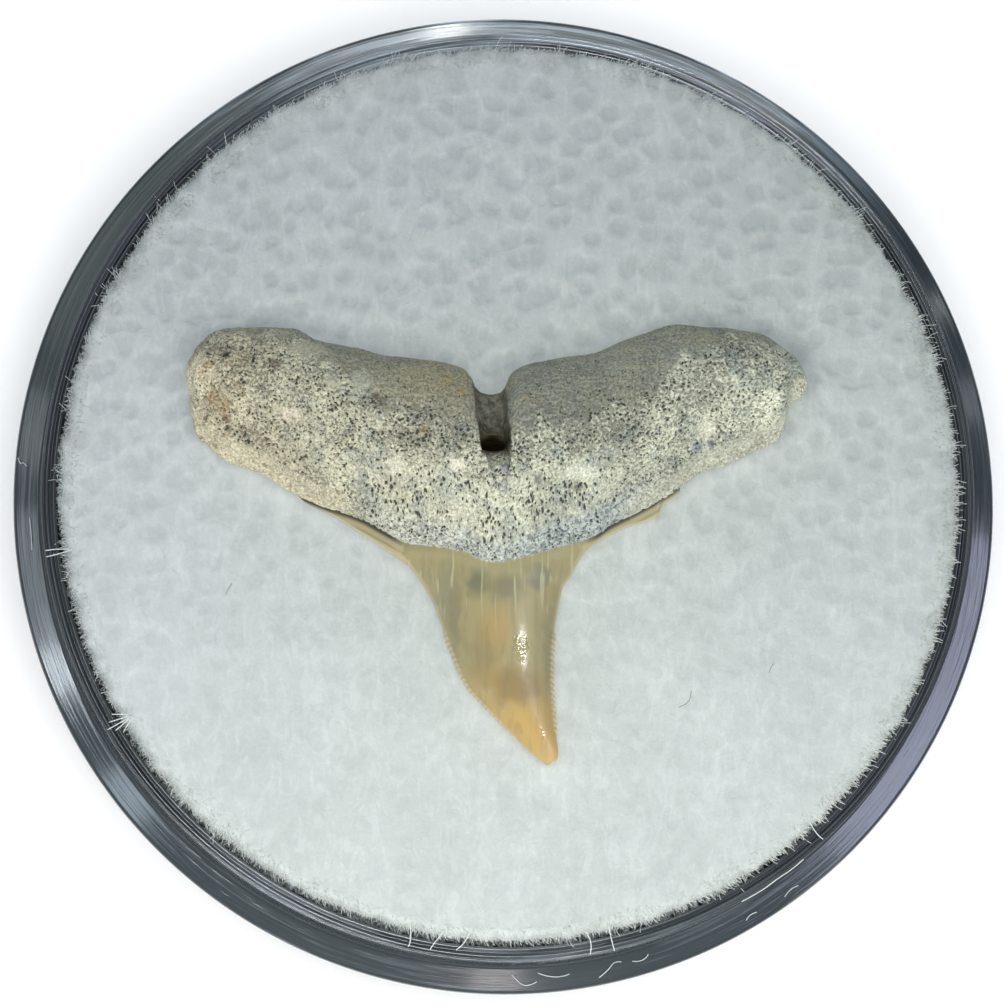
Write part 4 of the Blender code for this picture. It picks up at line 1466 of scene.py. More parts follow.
def enamel_finish(settings):
    """Glossy translucent enamel, polished where the crown's glints are."""
    finish, make, shader = new_finish("fossil_enamel")
    place = shaded_place(make, TOOTH_PLACE)
    soft = make.wandering(make.flat(place), *ENAMEL_WANDER)
    below = named(make, "below")
    along = make.vector("DOT_PRODUCT", place, (1, 0, 0))
    aside = make.math("ABSOLUTE", make.math("SUBTRACT", along, HEEL_MIDDLE))
    outer = make.step(aside, *LEVELS["heels"])
    crown = crown_colour(make, place, soft, below, settings)

    polish = 0.0
    for x, y, wide, long, _ in GLINTS:
        near = make.nearby(soft, (x, y), (wide * GLINT_SPREAD, long * GLINT_SPREAD))
        polish = make.math("MAXIMUM", near, polish)
    worn = make.noise(place, *NOISES["enamel wear"])
    dull = make.line(worn, *ENAMEL_ROUGHNESS)

    uneven = make.noise(make.vector("MULTIPLY", place, ENAMEL_WAVE_STRETCH), *NOISES["enamel waves"])
    rougher = make.line(polish, *GRAIN_BY_POLISH)
    height = make.math("MULTIPLY_ADD", make.ripple(place, "enamel grain"), rougher, uneven)
    make.dress(shader, {
        "Base Color": make.lay(crown, heel_colour(make, below), outer),
        "Roughness": make.mix(polish, dull, POLISHED_ROUGHNESS),
        "IOR": 1.55,
        "Subsurface Weight": 0.25,
        "Subsurface Radius": (1.0, 0.7, 0.4),
        "Subsurface Scale": 0.5 * MM,
        "Normal": make.bump(height, strength=0.4, distance=0.03 * MM),
    })
    return finish


def weathered_root(settings):
    """The root as an object, with its zones kept on it."""
    root = root_mesh()
    places = places_of(root)
    notch = np.zeros(len(places))
    for *centre, radius, depth in NOTCHES:
        away = np.linalg.norm(places - centre, axis=1) / radius
        notch += depth * np.maximum(0, 1 - away**2) ** 2
    store(root, "bone", places)
    store(root, "notch", notch)
    store(root, "exposed", ease(places[:, 2], *EXPOSED_HEIGHT))
    store_zones(root, places)
    made = add_object("shark_tooth_visual", root)
    reshape(made, "bone_weathering", weathered, {
        "Lump Height": settings.lump_height,
        "Pore Depth": settings.pore_depth,
        "Pore Spacing": settings.pore_spacing / MM,
        "Finish": bone_finish(settings),
    })
    return made


def serrated_crown(settings, enamel):
    made = add_object("crown", crown_mesh())
    reshape(made, "crown_serrations", serrated, {
        "Pitch": settings.serration_pitch / MM,
        "Height": settings.serration_height,
        "Finish": enamel,
    })
    return made


def grow_together(tooth, others):
    """Joins the other objects into the tooth's one closed mesh and takes them away."""
    for other in others:
        joining = tooth.modifiers.new(other.name, "BOOLEAN")
        joining.solver = "EXACT"
        joining.operation = "UNION"
        joining.object = other
    plain_mesh(tooth)
    for other in others:
        bpy.data.objects.remove(other, do_unlink=True)


def store_places(mesh):
    """Keeps each point's place on the bone, and where it lies beside the crown's and heels' edges."""
    bone = stored(mesh, "bone")
    here = places_of(mesh)
    new = np.linalg.norm(bone, axis=1) < NO_PLACE
    bone[new] = here[new]
    store(mesh, "bone", bone)
    store_zones(mesh, bone)
    x, y = here[:, 0], here[:, 1]
    left, right = down_through(CROWN_STATIONS, y)[:, :2].T
    store(mesh, "side", np.clip((x - (left + right) / 2) / ((right - left) / 2), -1, 1))
    store(mesh, "below", smooth_through(ROOT_STATIONS, x)[:, 1] - y)
    store(mesh, "heel_rim", y - smooth_through(HEEL_STATIONS, x)[:, 1])


class FOSSIL_OT_add_tooth(bpy.types.Operator):
    """Add the tooth: porous root with groove and hole, enamel heels and serrated crown"""

    bl_idname = "fossil.add_tooth"
    bl_label = "Tooth"

    def execute(self, context):
        settings = context.scene.fossil_tooth
        enamel = enamel_finish(settings)
        tooth = weathered_root(settings)
        heels = add_object("heels", heel_mesh())
        heels.data.materials.append(enamel)
        tooth.data.materials.append(enamel)
        grow_together(tooth, (heels, serrated_crown(settings, enamel)))
        store_places(tooth.data)
        tooth.data.shade_smooth()
        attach(tooth, "root")
        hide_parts("shark_tooth")
        return {"FINISHED"}


def rounded(corners):
    """Outline through (radius, height, rounding) corners in millimetres, each rounded by an arc."""
    outline = []
    for index, (radius, height, rounding) in enumerate(corners):
        here = Vector((radius, height))
        if not rounding:
            outline.append(here)
            continue
        before = (Vector(corners[index - 1][:2]) - here).normalized()
        after = (Vector(corners[index + 1][:2]) - here).normalized()
        half = before.angle(after) / 2
        centre = here + (before + after).normalized() * rounding / math.sin(half)
        start = here + before * rounding / math.tan(half) - centre
        sweep = (math.pi - 2 * half) * math.copysign(1, before.y * after.x - before.x * after.y)
        for step in range(ARC_STEPS + 1):
            turn = sweep * step / ARC_STEPS
            outline.append(centre + Vector((
                start.x * math.cos(turn) - start.y * math.sin(turn),
                start.x * math.sin(turn) + start.y * math.cos(turn),
            )))
    return outline


def plastic_finish(settings):
    """Dark glossy moulded plastic with faint turned lines and soft blooms, painted sheen along the lines,
    painted reflection on its shoulder's back and collar's front, and painted shade up its collar.
    """
    finish, make, shader = new_finish("smoked_plastic")
    place = shaded_place(make)
    flat = make.flat(place)
    direction = make.vector("NORMALIZE", flat)
    height = make.vector("DOT_PRODUCT", place, (0, 0, 1))
    lane = make.times(make.math("ADD", make.vector("LENGTH", flat), height), LINE_CROWDING)
    turned = make.vector("SCALE", direction, scale=LINE_RUN)
    turned = make.vector("ADD", turned, make.on_axis("Z", lane))
    lines = make.noise(turned, *NOISES["turned lines"])
    above_side = make.step(height, *LEVELS["above the side"])

    bloom = make.pattern(make.vector("SCALE", direction, scale=BLOOM_RUN), "plastic bloom")
    colour = make.colour(bloom, tuple(settings.plastic), BLOOM_COLOUR)
    # Painted sheen: the turned lines above the side are laid in a lighter colour, for light that they
    # catch.
    worn = make.step(lines, *LEVELS["worn line"])
    colour = make.lay(colour, WORN_PLASTIC, above_side, worn)
    shoulder = make.step(height, *LEVELS["shoulder"])
    collar = make.step(height, *LEVELS["collar"])
    # Painted reflection: lighter plastic on the back of the shoulder and the front of the collar, where
    # the jar mirrors light.
    back = make.times(make.slope(direction, "back of the jar"), shoulder)
    front = make.times(make.slope(direction, "front of the jar"), collar)
    pale = make.math("MAXIMUM", back, front)
    colour = make.lay(colour, PALE_PLASTIC, pale, make.step(lines, *LEVELS["pale line"]))
    # Painted shade: the plastic darkens up the collar, for the shade of the gap beside the pad.
    darker = make.step(height, *LEVELS["darker collar"])
    shade = make.math("MULTIPLY_ADD", pale, PALE_BRIGHTER, darker)

    roughness = (settings.roughness * share for share in LINE_ROUGHNESS)
    raised = make.times(lines, above_side, make.step(height, *LEVELS["calm collar"]))
    make.dress(shader, {
        "Base Color": make.vector("SCALE", colour, scale=shade),
        "Roughness": make.step(lines, *LINE_LEVELS, *roughness),
        "IOR": 1.59,
        "Coat Weight": 0.4,
        "Coat Roughness": 0.06,
        "Normal": make.bump(raised, strength=0.38, distance=0.03 * MM),
    })
    return finish


def hollows(make, place, spacing):
    """How deep the small round hollows of the fibre mat are, from 0 between them to 1 inside one."""
    warped = make.wandering(place, *HOLLOW_WANDER)
    cells = make.cells(warped, make.math("DIVIDE", 1.0, spacing), "2D")
    size = make.pattern(place, "hollow size")
    depth = make.step(cells, size, make.times(size, 0.40))
    return make.times(depth, make.slope(place, "deeper hollows"))


def fibre_finish(settings, name="white_fibre", lift=1.0):
    """Matt white fibre with soft mottling, painted cool light towards the back left, painted light towards
    the front, and painted shade in the mat's hollows.
    """
    finish, make, shader = new_finish(name)
    place = shaded_place(make)
    fibre = tuple(channel * lift for channel in settings.fibre)
    # Painted cool light: the fibre takes a bluer tint towards the back left.
    lilac = tuple(channel * tint for channel, tint in zip(fibre, LILAC_TINT))
    colour = make.colour(make.slope(place, "lilac side"), fibre, lilac)
    depth = hollows(make, place, settings.hollow_spacing / MM)
    # Painted shade in the hollows, over the hollows that the geometry presses in.
    colour = make.vector("MULTIPLY", colour, make.colour(depth, (1, 1, 1), HOLLOW_TINT))
    drawn_out = make.vector("MULTIPLY", place, WISP_STRETCH)
    # Painted light: the fibre is brighter towards the front, where more light falls; the mottling, wisps
    # and felt are its own.
    shade = make.times(
        make.pattern(place, "mottling"),
        make.slope(place, "brighter front"),
        make.pattern(make.wandering(drawn_out, *WISP_WANDER), "wisps"),
        make.pattern(make.wandering(place, *FELT_WANDER), "felt"),
    )
    facing_up = None
    if lift > 1:
        normal = make.add("ShaderNodeNewGeometry").outputs["Normal"]
        facing_up = make.vector("NORMALIZE", make.vector("ADD", normal, UPWARD_PULL))
    hair = make.noise(make.wandering(place, *HAIR_WANDER), *NOISES["felted hair"])
    make.dress(shader, {
        "Base Color": make.vector("SCALE", colour, scale=shade),
        "Roughness": 0.95,
        "Specular IOR Level": 0.15,
        "Sheen Weight": 0.15,
        "Sheen Roughness": 0.5,
        "Normal": make.bump(hair, strength=0.35, distance=0.04 * MM, normal=facing_up),
    })
    return finish


class FOSSIL_OT_add_jar(bpy.types.Operator):
    """Add the jar's cup: a turned shell with a shoulder and a thin raised collar"""

    bl_idname = "fossil.add_jar"
    bl_label = "Jar"

    def execute(self, context):
        outline = rounded(JAR_CORNERS)
        mesh = bpy.data.meshes.new("jar_cup_visual")
        points = [(radius * MM, 0, height * MM) for radius, height in outline]
        mesh.from_pydata(points, [(index, index + 1) for index in range(len(points) - 1)], [])
        jar = add_object("jar_cup_visual", mesh)
        turning = jar.modifiers.new("turning", "SCREW")
        turning.axis = "Z"
        turning.angle = 2 * math.pi
        turning.steps = turning.render_steps = JAR_STEPS
        turning.use_merge_vertices = True
        turning.merge_threshold = MERGE_DISTANCE
        turning.use_smooth_shade = True
        plain_mesh(jar)
        jar.data.materials.append(plastic_finish(context.scene.fossil_jar))
        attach(jar, "root")
        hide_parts("jar_cup")
        return {"FINISHED"}


def pad_profile(share):
    """Radius and height of the pad's top and side at these shares of the way to its foot."""
    outer = PAD_HIGH.x / MM
    top, foot = PAD_HIGH.z / MM, PAD_LOW.z / MM
    radius = np.linspace(0, outer - PAD_EDGE_ROUND, PAD_TOP_POINTS)
    height = top - (top - PAD_EDGE_HEIGHT) * ease(radius, 0, outer)
    turn = np.linspace(0, math.pi / 2, PAD_EDGE_POINTS)[1:]
    edge_radius = outer - PAD_EDGE_ROUND * (1 - np.sin(turn))
    edge_height = height[-1] - PAD_EDGE_ROUND * (1 - np.cos(turn))
    turn = np.linspace(0, math.pi / 2, PAD_FOOT_POINTS)
    foot_radius = outer - PAD_FOOT_ROUND * (1 - np.cos(turn))
    foot_height = foot + PAD_FOOT_ROUND * (1 - np.sin(turn))
    radius = np.concatenate([radius, edge_radius, foot_radius])
    height = np.concatenate([height, edge_height, foot_height])
    lengths = lengths_along(np.stack([radius, height], axis=1))
    shown = lengths[PAD_TOP_POINTS + PAD_EDGE_POINTS - 2]
    hidden = (share - PAD_TOP_SHARE) / (1 - PAD_TOP_SHARE) * (lengths[-1] - shown)
    way = np.where(share < PAD_TOP_SHARE, share / PAD_TOP_SHARE * shown, shown + hidden)
    return np.interp(way, lengths, radius), np.interp(way, lengths, height)


def pad_points():
    """Points of the pad's top and side, on a square grid that is drawn out to a round."""
    side = np.linspace(-1, 1, PAD_CELLS + 1)
    across, along = np.meshgrid(side, side, indexing="ij")
    wide = np.abs(across) > np.abs(along)
    share = np.where(wide, np.abs(across), np.abs(along))
    turn = math.pi / 4 * np.where(wide, along, across) / np.where(share == 0, 1, share)
    lead = np.where(wide, np.sign(across), np.sign(along))
    unit_x = np.where(wide, lead * np.cos(turn), np.sin(turn))
    unit_y = np.where(wide, np.sin(turn), lead * np.cos(turn))
    radius, height = pad_profile(share)
    bearing = np.arctan2(unit_y, unit_x)
    tufts = sum(np.sin(bearing * number + number) for number in TUFT_WAVES) / len(TUFT_WAVES)
    out = EDGE_DRAWN_IN + TUFT_HEIGHT * tufts
    out = out + EDGE_SHIFT[1] * np.sin(bearing) + EDGE_SHIFT[0] * np.cos(bearing)
    near_top = np.where(out > 0, ease(height, *SWOLLEN_HEIGHT), ease(height, *DRAWN_IN_HEIGHT))
    radius = radius + out * ease(radius, *EDGE_WIDTH) * near_top
    return np.stack([unit_x * radius, unit_y * radius, height], axis=2).reshape(-1, 3) * MM


def tooth_over(surface, point):
    """The tooth's underside above this place on the pad, or None beside the tooth."""
    return surface.ray_cast(Vector((point[0], point[1], PAD_LOW.z)), Vector((0, 0, 1)))[0]


def press(points, surface):
    """Moves the pad's points up to the tooth's underside, and swells them beside it."""
    for point in points:
        if point[2] < PAD_TOP_LEVEL * MM:
            continue
        underside = tooth_over(surface, point)
        if underside:
            point[2] = min(point[2] + PAD_RISE * MM, underside.z - TOOTH_GAP * MM)
            continue
        start = Vector((point[0], point[1], TOOTH_LOW.z + SWELL_LEVEL * MM))
        nearest, _, _, distance = surface.find_nearest(start, SWELL_SEARCH * MM)
        if nearest is not None:
            point[2] += SWELL_HEIGHT * MM * math.exp(-((distance / (SWELL_WIDTH * MM)) ** 2))


def pad_mesh(surface):
    """Round cushion on a grid of even cells, pressed flat under the tooth and swollen beside it."""
    points = pad_points()
    press(points, surface)
    count = PAD_CELLS + 1
    index = np.arange(count * count).reshape(count, count)
    corners = [index[:-1, :-1], index[1:, :-1], index[1:, 1:], index[:-1, 1:]]
    border = np.concatenate([index[:-1, 0], index[-1, :-1], index[:0:-1, -1], index[0, :0:-1]])
    faces = np.stack(corners, axis=2).reshape(-1, 4).tolist() + [border[::-1].tolist()]
    mesh = bpy.data.meshes.new("fibre_pad_visual")
    mesh.from_pydata(points.tolist(), [], faces)
    mesh.shade_smooth()
    return mesh


def hollowed(make, given):
    """The pad with small round hollows and a little unevenness pressed into it."""
    here = make.add("GeometryNodeInputPosition").outputs[0]
    place = make.vector("SCALE", here, scale=1 / MM)
    fuzz = make.times(make.ripple(place, "pad fuzz"), 0.5)
    move = make.math("MULTIPLY_ADD", make.ripple(place, "pad swell"), 1.6, fuzz)
    move = make.math("SUBTRACT", move, hollows(make, place, given["Spacing"]))
    move = make.times(move, given["Depth"], named(make, "free"))
    return make.pushed(given["Geometry"], move)


def random_value(make, given, offset, low, high):
    """Random number or vector for each fibre; the offset tells one draw from another."""
    vector = isinstance(low, tuple)
    made = make.add("FunctionNodeRandomValue", data_type="FLOAT_VECTOR" if vector else "FLOAT")
    first = 0 if vector else 2
    seed = make.math("ADD", given["Seed"], offset)
    make.dress(made, {first: low, first + 1: high, "Seed": seed})
    return made.outputs[0 if vector else 1]


def strewn_points(make, given):
    """Random points on the part of the pad where fibres are strewn."""
    inputs = {
        "Mesh": given["Geometry"], "Selection": named(make, "strewn"),
        "Density": given["Density"], "Seed": given["Seed"],
    }
    return make.add("GeometryNodeDistributePointsOnFaces", inputs).outputs


def strewn_arcs(make, points, arc, resolution, turn, size):
    """One arc at each of the points, by its start, middle and end, as separate curves."""
    start, middle, end = arc
    inputs = {"Resolution": resolution, "Start": start, "Middle": middle, "End": end}
    curve = make.add("GeometryNodeCurveQuadraticBezier", inputs).outputs[0]
    inputs = {"Points": points, "Instance": curve, "Rotation": turn, "Scale": size}
    placed = make.add("GeometryNodeInstanceOnPoints", inputs).outputs[0]
    return make.add("GeometryNodeRealizeInstances", {0: placed}).outputs[0]


def curled(make, curves, reach):
    """The curves bent by fine noise that reaches this far along each axis."""
    here = make.add("GeometryNodeInputPosition").outputs[0]
    bend = make.drift(here, CURL_SCALE / MM, 2.0)
    return make.shifted(curves, make.vector("MULTIPLY", bend, tuple(part * MM for part in reach)))


def tubes(make, given, curves):
    """Thin three-sided tubes with closed ends along the curves."""
    radius = make.times(given["Thickness"], 0.5)
    ring = make.add("GeometryNodeCurvePrimitiveCircle", {"Resolution": 3, "Radius": radius}, mode="RADIUS")
    inputs = {"Curve": curves, "Profile Curve": ring.outputs[0], "Fill Caps": True}
    return make.add("GeometryNodeCurveToMesh", inputs).outputs[0]


def lying_fibres(make, given):
    """Curved fibres that lie along the pad's top."""
    points = strewn_points(make, given)["Points"]
    share = random_value(make, given, 1.0, 0.0, 1.0)
    length = make.mix(share, given["Shortest"], given["Longest"])
    tilt = LYING_TILT
    turn = random_value(make, given, 2.0, (-tilt, -tilt, 0), (tilt, tilt, 2 * math.pi))
    bend = random_value(make, given, 3.0, -1.0, 1.0)
    size = make.add("ShaderNodeCombineXYZ", {0: 1.0, 1: bend, 2: 1.0}).outputs[0]
    size = make.vector("SCALE", size, scale=length)
    curves = curled(make, strewn_arcs(make, points, LYING_ARC, 7, turn, size), LYING_CURL)
    here = make.add("GeometryNodeInputPosition").outputs[0]
    cast = make.add("GeometryNodeRaycast", {
        "Target Geometry": given["Geometry"],
        "Source Position": make.vector("ADD", here, (0, 0, CAST_FROM * MM)),
        "Ray Direction": (0, 0, -1),
        "Ray Length": CAST_REACH * MM,
    }).outputs
    lowest, highest = LYING_LIFT
    lift = random_value(make, given, 4.0, lowest * MM, highest * MM)
    onto = make.vector("ADD", cast["Hit Position"], make.on_axis("Z", lift))
    inputs = {"Geometry": curves, "Selection": cast["Is Hit"], "Position": onto}
    return tubes(make, given, make.add("GeometryNodeSetPosition", inputs).outputs[0])


def standing_fibres(make, given):
    """Curved fibres that stand out from the pad's edge, in tufts."""
    scattered = strewn_points(make, given)
    share = make.math("POWER", random_value(make, given, 1.0, 0.0, 1.0), 3.0)
    length = make.mix(share, given["Shortest"], given["Longest"])
    lean = random_value(make, given, 2.0, *STANDING_LEAN)
    towards = make.vector("ADD", scattered["Normal"], lean)
    turn = make.add("FunctionNodeAlignRotationToVector", {"Vector": towards}, axis="Z").outputs[0]
    here = make.add("GeometryNodeInputPosition").outputs[0]
    place = make.vector("SCALE", here, scale=1 / MM)
    size = make.times(length, make.pattern(place, "tufts"))
    curves = strewn_arcs(make, scattered["Points"], STANDING_ARC, 3, turn, size)
    return tubes(make, given, curled(make, curves, STANDING_CURL))


def strew(pad, where, settings, finish, row, density):
    """Strews one set of fibres over the part of the pad that is marked."""
    name, lying, shortest, longest, seed = row
    fibres = add_object(name, pad.data.copy())
    store(fibres.data, "strewn", where.astype(float))
    reshape(fibres, name, lying_fibres if lying else standing_fibres, {
        "Density": density,
        "Shortest": shortest * MM,
        "Longest": longest * MM,
        "Thickness": settings.fibre_thickness * (LYING_THINNER if lying else 1.0),
        "Seed": seed,
        "Finish": finish,
    })
    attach(fibres, "root")


class FOSSIL_OT_add_pad(bpy.types.Operator):
    """Add the fibre pad with its dimples, the fibres that lie on it and those at its edge"""

    bl_idname = "fossil.add_pad"
    bl_label = "Fibre Pad"

    def execute(self, context):
        settings = context.scene.fossil_pad
        tooth = bpy.data.objects["shark_tooth_visual"]
        surface = BVHTree.FromObject(tooth, context.evaluated_depsgraph_get())
        pad = add_object("fibre_pad_visual", pad_mesh(surface))
        points = points_of(pad.data)
        height = points[:, 2] / MM
        radius = np.hypot(points[:, 0], points[:, 1]) / MM
        covered = np.array([
            level > COVERED_LEVEL and tooth_over(surface, point) is not None
            for level, point in zip(height, points)
        ])
        store(pad.data, "free", np.where(covered, 0.0, 1.0) * ease(height, *FREE_HEIGHT))
        reshape(pad, "pad_hollows", hollowed, {
            "Spacing": settings.hollow_spacing / MM,
            "Depth": settings.hollow_depth,
            "Finish": fibre_finish(settings),
        })
        top = ~covered & (radius < STREWN_RADIUS) & (height > COVERED_LEVEL)
        edge = (radius > EDGE_INNER) & (height > EDGE_LEVEL)
        top_area = math.pi * (STREWN_RADIUS * MM) ** 2
        rim = EDGE_OUTER**2 - EDGE_INNER**2 + 2 * EDGE_OUTER * EDGE_DEPTH
        edge_area = math.pi * rim * MM**2
        # The lying and loose fibres take brighter copies of the fibre colour: painted light for the light
        # that passes through them.
        lying_finish = fibre_finish(settings, "lying_fibre", 1.08)
        loose_finish = fibre_finish(settings, "loose_fibre", 1.14)
        for row in FIBRE_SETS:
            if row[1]:
                strew(pad, top, settings, lying_finish, row, settings.fibre_count / top_area)
            else:
                density = settings.edge_fibre_count / edge_area / 2
                strew(pad, edge, settings, loose_finish, row, density)
        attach(pad, "root")
        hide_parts("fibre_pad")
        return {"FINISHED"}


def thread_curve(name, lines, thickness):
    """Round curves through these points: angle in degrees, radius and height."""
    curve = bpy.data.curves.new(name, "CURVE")
    curve.dimensions = "3D"
    curve.bevel_depth = thickness / 2
    curve.bevel_resolution = 1
    curve.resolution_u = 6
    curve.use_fill_caps = True
    for thread in lines:
        line = curve.splines.new("NURBS")
        line.points.add(len(thread) - 1)
        line.use_endpoint_u = True
        line.order_u = 3
        for point, (angle, radius, height) in zip(line.points, thread):
            turn = math.radians(angle)
            point.co = (radius * MM * math.cos(turn), radius * MM * math.sin(turn), height * MM, 1)
    return curve


def add_threads(name, lines, thickness, finish):
    """Thin round threads through these points, as one closed mesh."""
    drawn = add_object(name, thread_curve(name, lines, thickness))
    graph = bpy.context.evaluated_depsgraph_get()
    mesh = bpy.data.meshes.new_from_object(drawn.evaluated_get(graph))
    bpy.data.objects.remove(drawn, do_unlink=True)
    welded = bmesh.new()
    welded.from_mesh(mesh)
    bmesh.ops.remove_doubles(welded, verts=welded.verts, dist=WELD_DISTANCE)
    welded.to_mesh(mesh)
    welded.free()
    mesh.materials.append(finish)
    made = add_object(name, mesh)
    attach(made, "root")


class FOSSIL_OT_add_lint(bpy.types.Operator):
    """Add the loose threads of lint on the jar and the dark hairs on the pad"""

    bl_idname = "fossil.add_lint"
    bl_label = "Lint"

    def execute(self, context):
        thickness = context.scene.fossil_jar.lint_thickness
        fibres = context.scene.fossil_pad
        add_threads("jar_lint", LINT, thickness, fibre_finish(fibres, "lint", 1.40))
        dark = fibre_finish(fibres, "dark_hair", 0.42)
        add_threads("pad_hairs", DARK_HAIRS, thickness * THREAD_THINNER, dark)
        return {"FINISHED"}


def add_light(
    name, place, target, size, radiance, colour=(1, 1, 1), shown_on=None, shaded_by=None, gloss=False
):
    """Rectangular light of this radiance facing its target, for matt faces or as a gloss."""
    light = bpy.data.lights.new(name, "AREA")
    light.shape = "RECTANGLE"
    light.size, light.size_y = size
    light.energy = math.pi * size[0] * size[1] * radiance
    light.color = colour
    made = add_object(name, light)
    made.location = place
    made.rotation_euler = (Vector(target) - Vector(place)).to_track_quat("-Z", "Y").to_euler()
    made.visible_camera = False
    made.visible_diffuse = not gloss
    made.visible_glossy = gloss
    for piece, role in ((shown_on, "receiver_collection"), (shaded_by, "blocker_collection")):
        if piece:
            linked = bpy.data.collections.new(f"{name}_{role}")
            linked.objects.link(bpy.data.objects[piece])
            setattr(made.light_linking, role, linked)


def add_floor(colour):
    half = FLOOR_HALF
    mesh = bpy.data.meshes.new("floor")
    corners = [(-half, -half, 0), (half, -half, 0), (half, half, 0), (-half, half, 0)]
    mesh.from_pydata(corners, [], [(0, 1, 2, 3)])
    floor = add_object("floor", mesh)
    finish, make, shader = new_finish("pale_floor")
    mottling = make.noise(make.add("ShaderNodeTexCoord").outputs["Object"], *FLOOR_MOTTLING)
    shaded = tuple(channel * FLOOR_SHADE for channel in colour)
    make.dress(shader, {"Base Color": make.colour(mottling, shaded, colour), "Roughness": 0.9})
    mesh.materials.append(finish)


def add_world(strength):
    world = bpy.data.worlds.new("studio")
    world.use_nodes = True
    background = world.node_tree.nodes["Background"].inputs
    background["Color"].default_value = SKY_COLOUR
    background["Strength"].default_value = strength
    bpy.context.scene.world = world


def add_camera(distance):
    """Camera above the jar; gives its place and the direction from the jar to it."""
    camera = bpy.data.cameras.new("camera")
    camera.sensor_fit = "HORIZONTAL"
    camera.angle = 2 * math.atan(FRAME_WIDTH * MM / 2 / distance)
    camera.clip_start = 0.01
    made = add_object("camera", camera)
    leftward, frontward = (-math.tan(math.radians(degrees)) for degrees in CAMERA_TILT)
    back = Vector((leftward, frontward, 1)).normalized()
    right = Vector((0, 1, 0)).cross(back).normalized()
    place = CAMERA_AIM * MM + back * distance
    made.location = place
    made.rotation_euler = Matrix((right, back.cross(right), back)).transposed().to_euler()
    bpy.context.scene.camera = made
    return place, back


def mirrored(degrees, camera_place):
    """Point of the jar's sloping shoulder at this angle, and the way from it that the camera sees."""
    turn = math.radians(degrees)
    outward = Vector((math.cos(turn), math.sin(turn), 0))
    (inner, inner_height), (outer, outer_height) = SHOULDER_INNER, SHOULDER_OUTER
    point = (outward * (inner + outer) / 2 + Vector((0, 0, (inner_height + outer_height) / 2))) * MM
    normal = (outward * (inner_height - outer_height) + Vector((0, 0, outer - inner))).normalized()
    return point, reflected((camera_place - point).normalized(), normal)


def reflected(towards, normal):
    """The direction in which a face with this normal mirrors one that looks towards it."""
    return 2 * normal.dot(towards) * normal - towards


def add_soft_lights(settings, back):
    """Light above the tooth, low lights that only the jar shades, and the floor's own light."""
    middle = LIT_MIDDLE * MM
    key = settings.key_power / (math.pi * KEY_SIZE[0] * KEY_SIZE[1])
    add_light("key", middle + back * KEY_DISTANCE, middle, KEY_SIZE, key, KEY_COLOUR)
    front = settings.front_power / (math.pi * FILL_SIZE[0] * FILL_SIZE[1])
    for name, place, share, colour in FILLS:
        shade = "jar_cup_visual"
        add_light(name, place, middle, FILL_SIZE, front * share, colour, shaded_by=shade)
    add_light(
        "floor_light", FLOOR_LIGHT_PLACE, middle, FLOOR_LIGHT_SIZE, FLOOR_LIGHT_RADIANCE,
        shown_on="floor",
    )


def add_jar_glosses(camera_place, back):
    """Lights that show only as reflections on the jar's collar and shoulder."""
    middle = LIT_MIDDLE * MM
    jar = "jar_cup_visual"
    place = middle + back * RIDGE_LAMP_DISTANCE
    radiance = RIDGE_LAMP_RADIANCE
    add_light("ridge_lamp", place, middle, RIDGE_LAMP_SIZE, radiance, gloss=True, shown_on=jar)
    for name, first, last, reach, radiance, colour in SHOULDER_LIGHTS:
        start, end = (
            point + to_light * reach
            for point, to_light in (mirrored(degrees, camera_place) for degrees in (first, last))
        )
        point, to_light = mirrored((first + last) / 2, camera_place)
        size = ((start - end).length, PANEL_HEIGHT)
        place = point + to_light * reach
        add_light(name, place, point, size, radiance, colour, gloss=True, shown_on=jar)


def add_crown_glints(camera_place):
    """Small lights that show only as glints on the crown's polished places."""
    tooth = bpy.data.objects["shark_tooth_visual"]
    surface = BVHTree.FromObject(tooth, bpy.context.evaluated_depsgraph_get())
    for x, y, wide, _, radiance in GLINTS:
        above = TOOTH_PLACE + Vector((x * MM, y * MM, ABOVE_TOOTH))
        spot, normal = surface.ray_cast(above, Vector((0, 0, -1)))[:2]
        place = spot + reflected((camera_place - spot).normalized(), normal) * GLINT_DISTANCE
        size = (wide * GLINT_WIDER * MM,) * 2
        add_light("crown_glint", place, spot, size, radiance, gloss=True, shown_on=tooth.name)


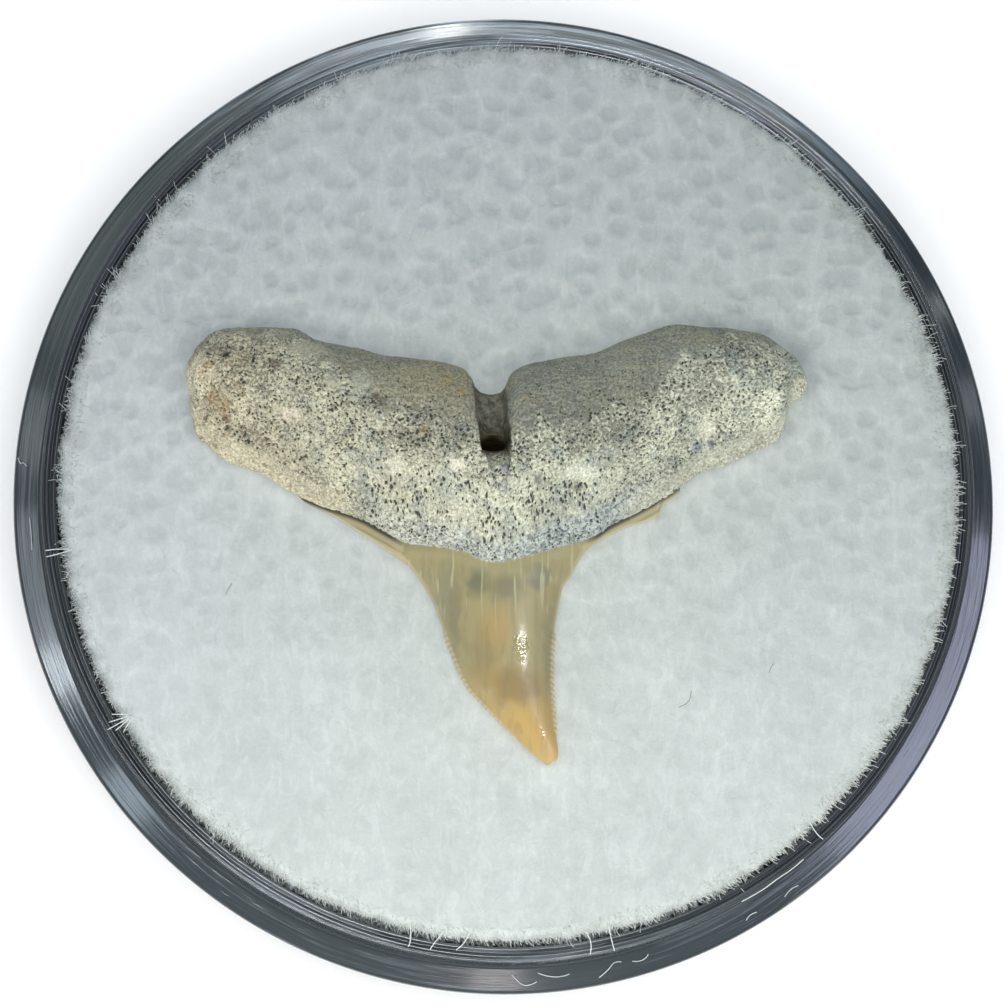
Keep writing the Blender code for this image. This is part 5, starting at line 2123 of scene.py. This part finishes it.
class FOSSIL_OT_add_stage(bpy.types.Operator):
    """Add the pale floor, the soft lights and the camera above the jar"""

    bl_idname = "fossil.add_stage"
    bl_label = "Stage"

    def execute(self, context):
        settings = context.scene.fossil_stage
        add_floor(tuple(settings.floor))
        add_world(settings.sky)
        camera_place, back = add_camera(settings.camera_distance)
        context.scene.view_settings.view_transform = "Standard"
        add_soft_lights(settings, back)
        add_jar_glosses(camera_place, back)
        add_crown_glints(camera_place)
        return {"FINISHED"}


class FOSSIL_PT_panel(bpy.types.Panel):
    """Lists the pieces and their settings"""

    bl_idname = "FOSSIL_PT_panel"
    bl_label = "Fossil Tooth in a Jar"
    bl_space_type = "VIEW_3D"
    bl_region_type = "UI"
    bl_category = "Fossil"

    def draw(self, context):
        for button, group in PIECES:
            box = self.layout.box()
            box.operator(button)
            settings = getattr(context.scene, group)
            for name in settings.bl_rna.properties.keys():
                if name not in ("rna_type", "name"):
                    box.prop(settings, name)


PIECES = (
    (FOSSIL_OT_add_tooth.bl_idname, "fossil_tooth"),
    (FOSSIL_OT_add_pad.bl_idname, "fossil_pad"),
    (FOSSIL_OT_add_jar.bl_idname, "fossil_jar"),
    (FOSSIL_OT_add_lint.bl_idname, "fossil_jar"),
    (FOSSIL_OT_add_stage.bl_idname, "fossil_stage"),
)
SETTINGS = (
    ("fossil_tooth", ToothSettings),
    ("fossil_pad", PadSettings),
    ("fossil_jar", JarSettings),
    ("fossil_stage", StageSettings),
)
CLASSES = (
    ToothSettings,
    PadSettings,
    JarSettings,
    StageSettings,
    FOSSIL_OT_add_tooth,
    FOSSIL_OT_add_pad,
    FOSSIL_OT_add_jar,
    FOSSIL_OT_add_lint,
    FOSSIL_OT_add_stage,
    FOSSIL_PT_panel,
)


def register():
    for item in CLASSES:
        bpy.utils.register_class(item)
    for name, group in SETTINGS:
        setattr(bpy.types.Scene, name, bpy.props.PointerProperty(type=group))


def unregister():
    for name, _ in SETTINGS:
        delattr(bpy.types.Scene, name)
    for item in reversed(CLASSES):
        bpy.utils.unregister_class(item)


def main():
    register()
    bpy.ops.fossil.add_tooth()
    bpy.ops.fossil.add_pad()
    bpy.ops.fossil.add_jar()
    bpy.ops.fossil.add_lint()
    bpy.ops.fossil.add_stage()


if __name__ == "__main__":
    main()
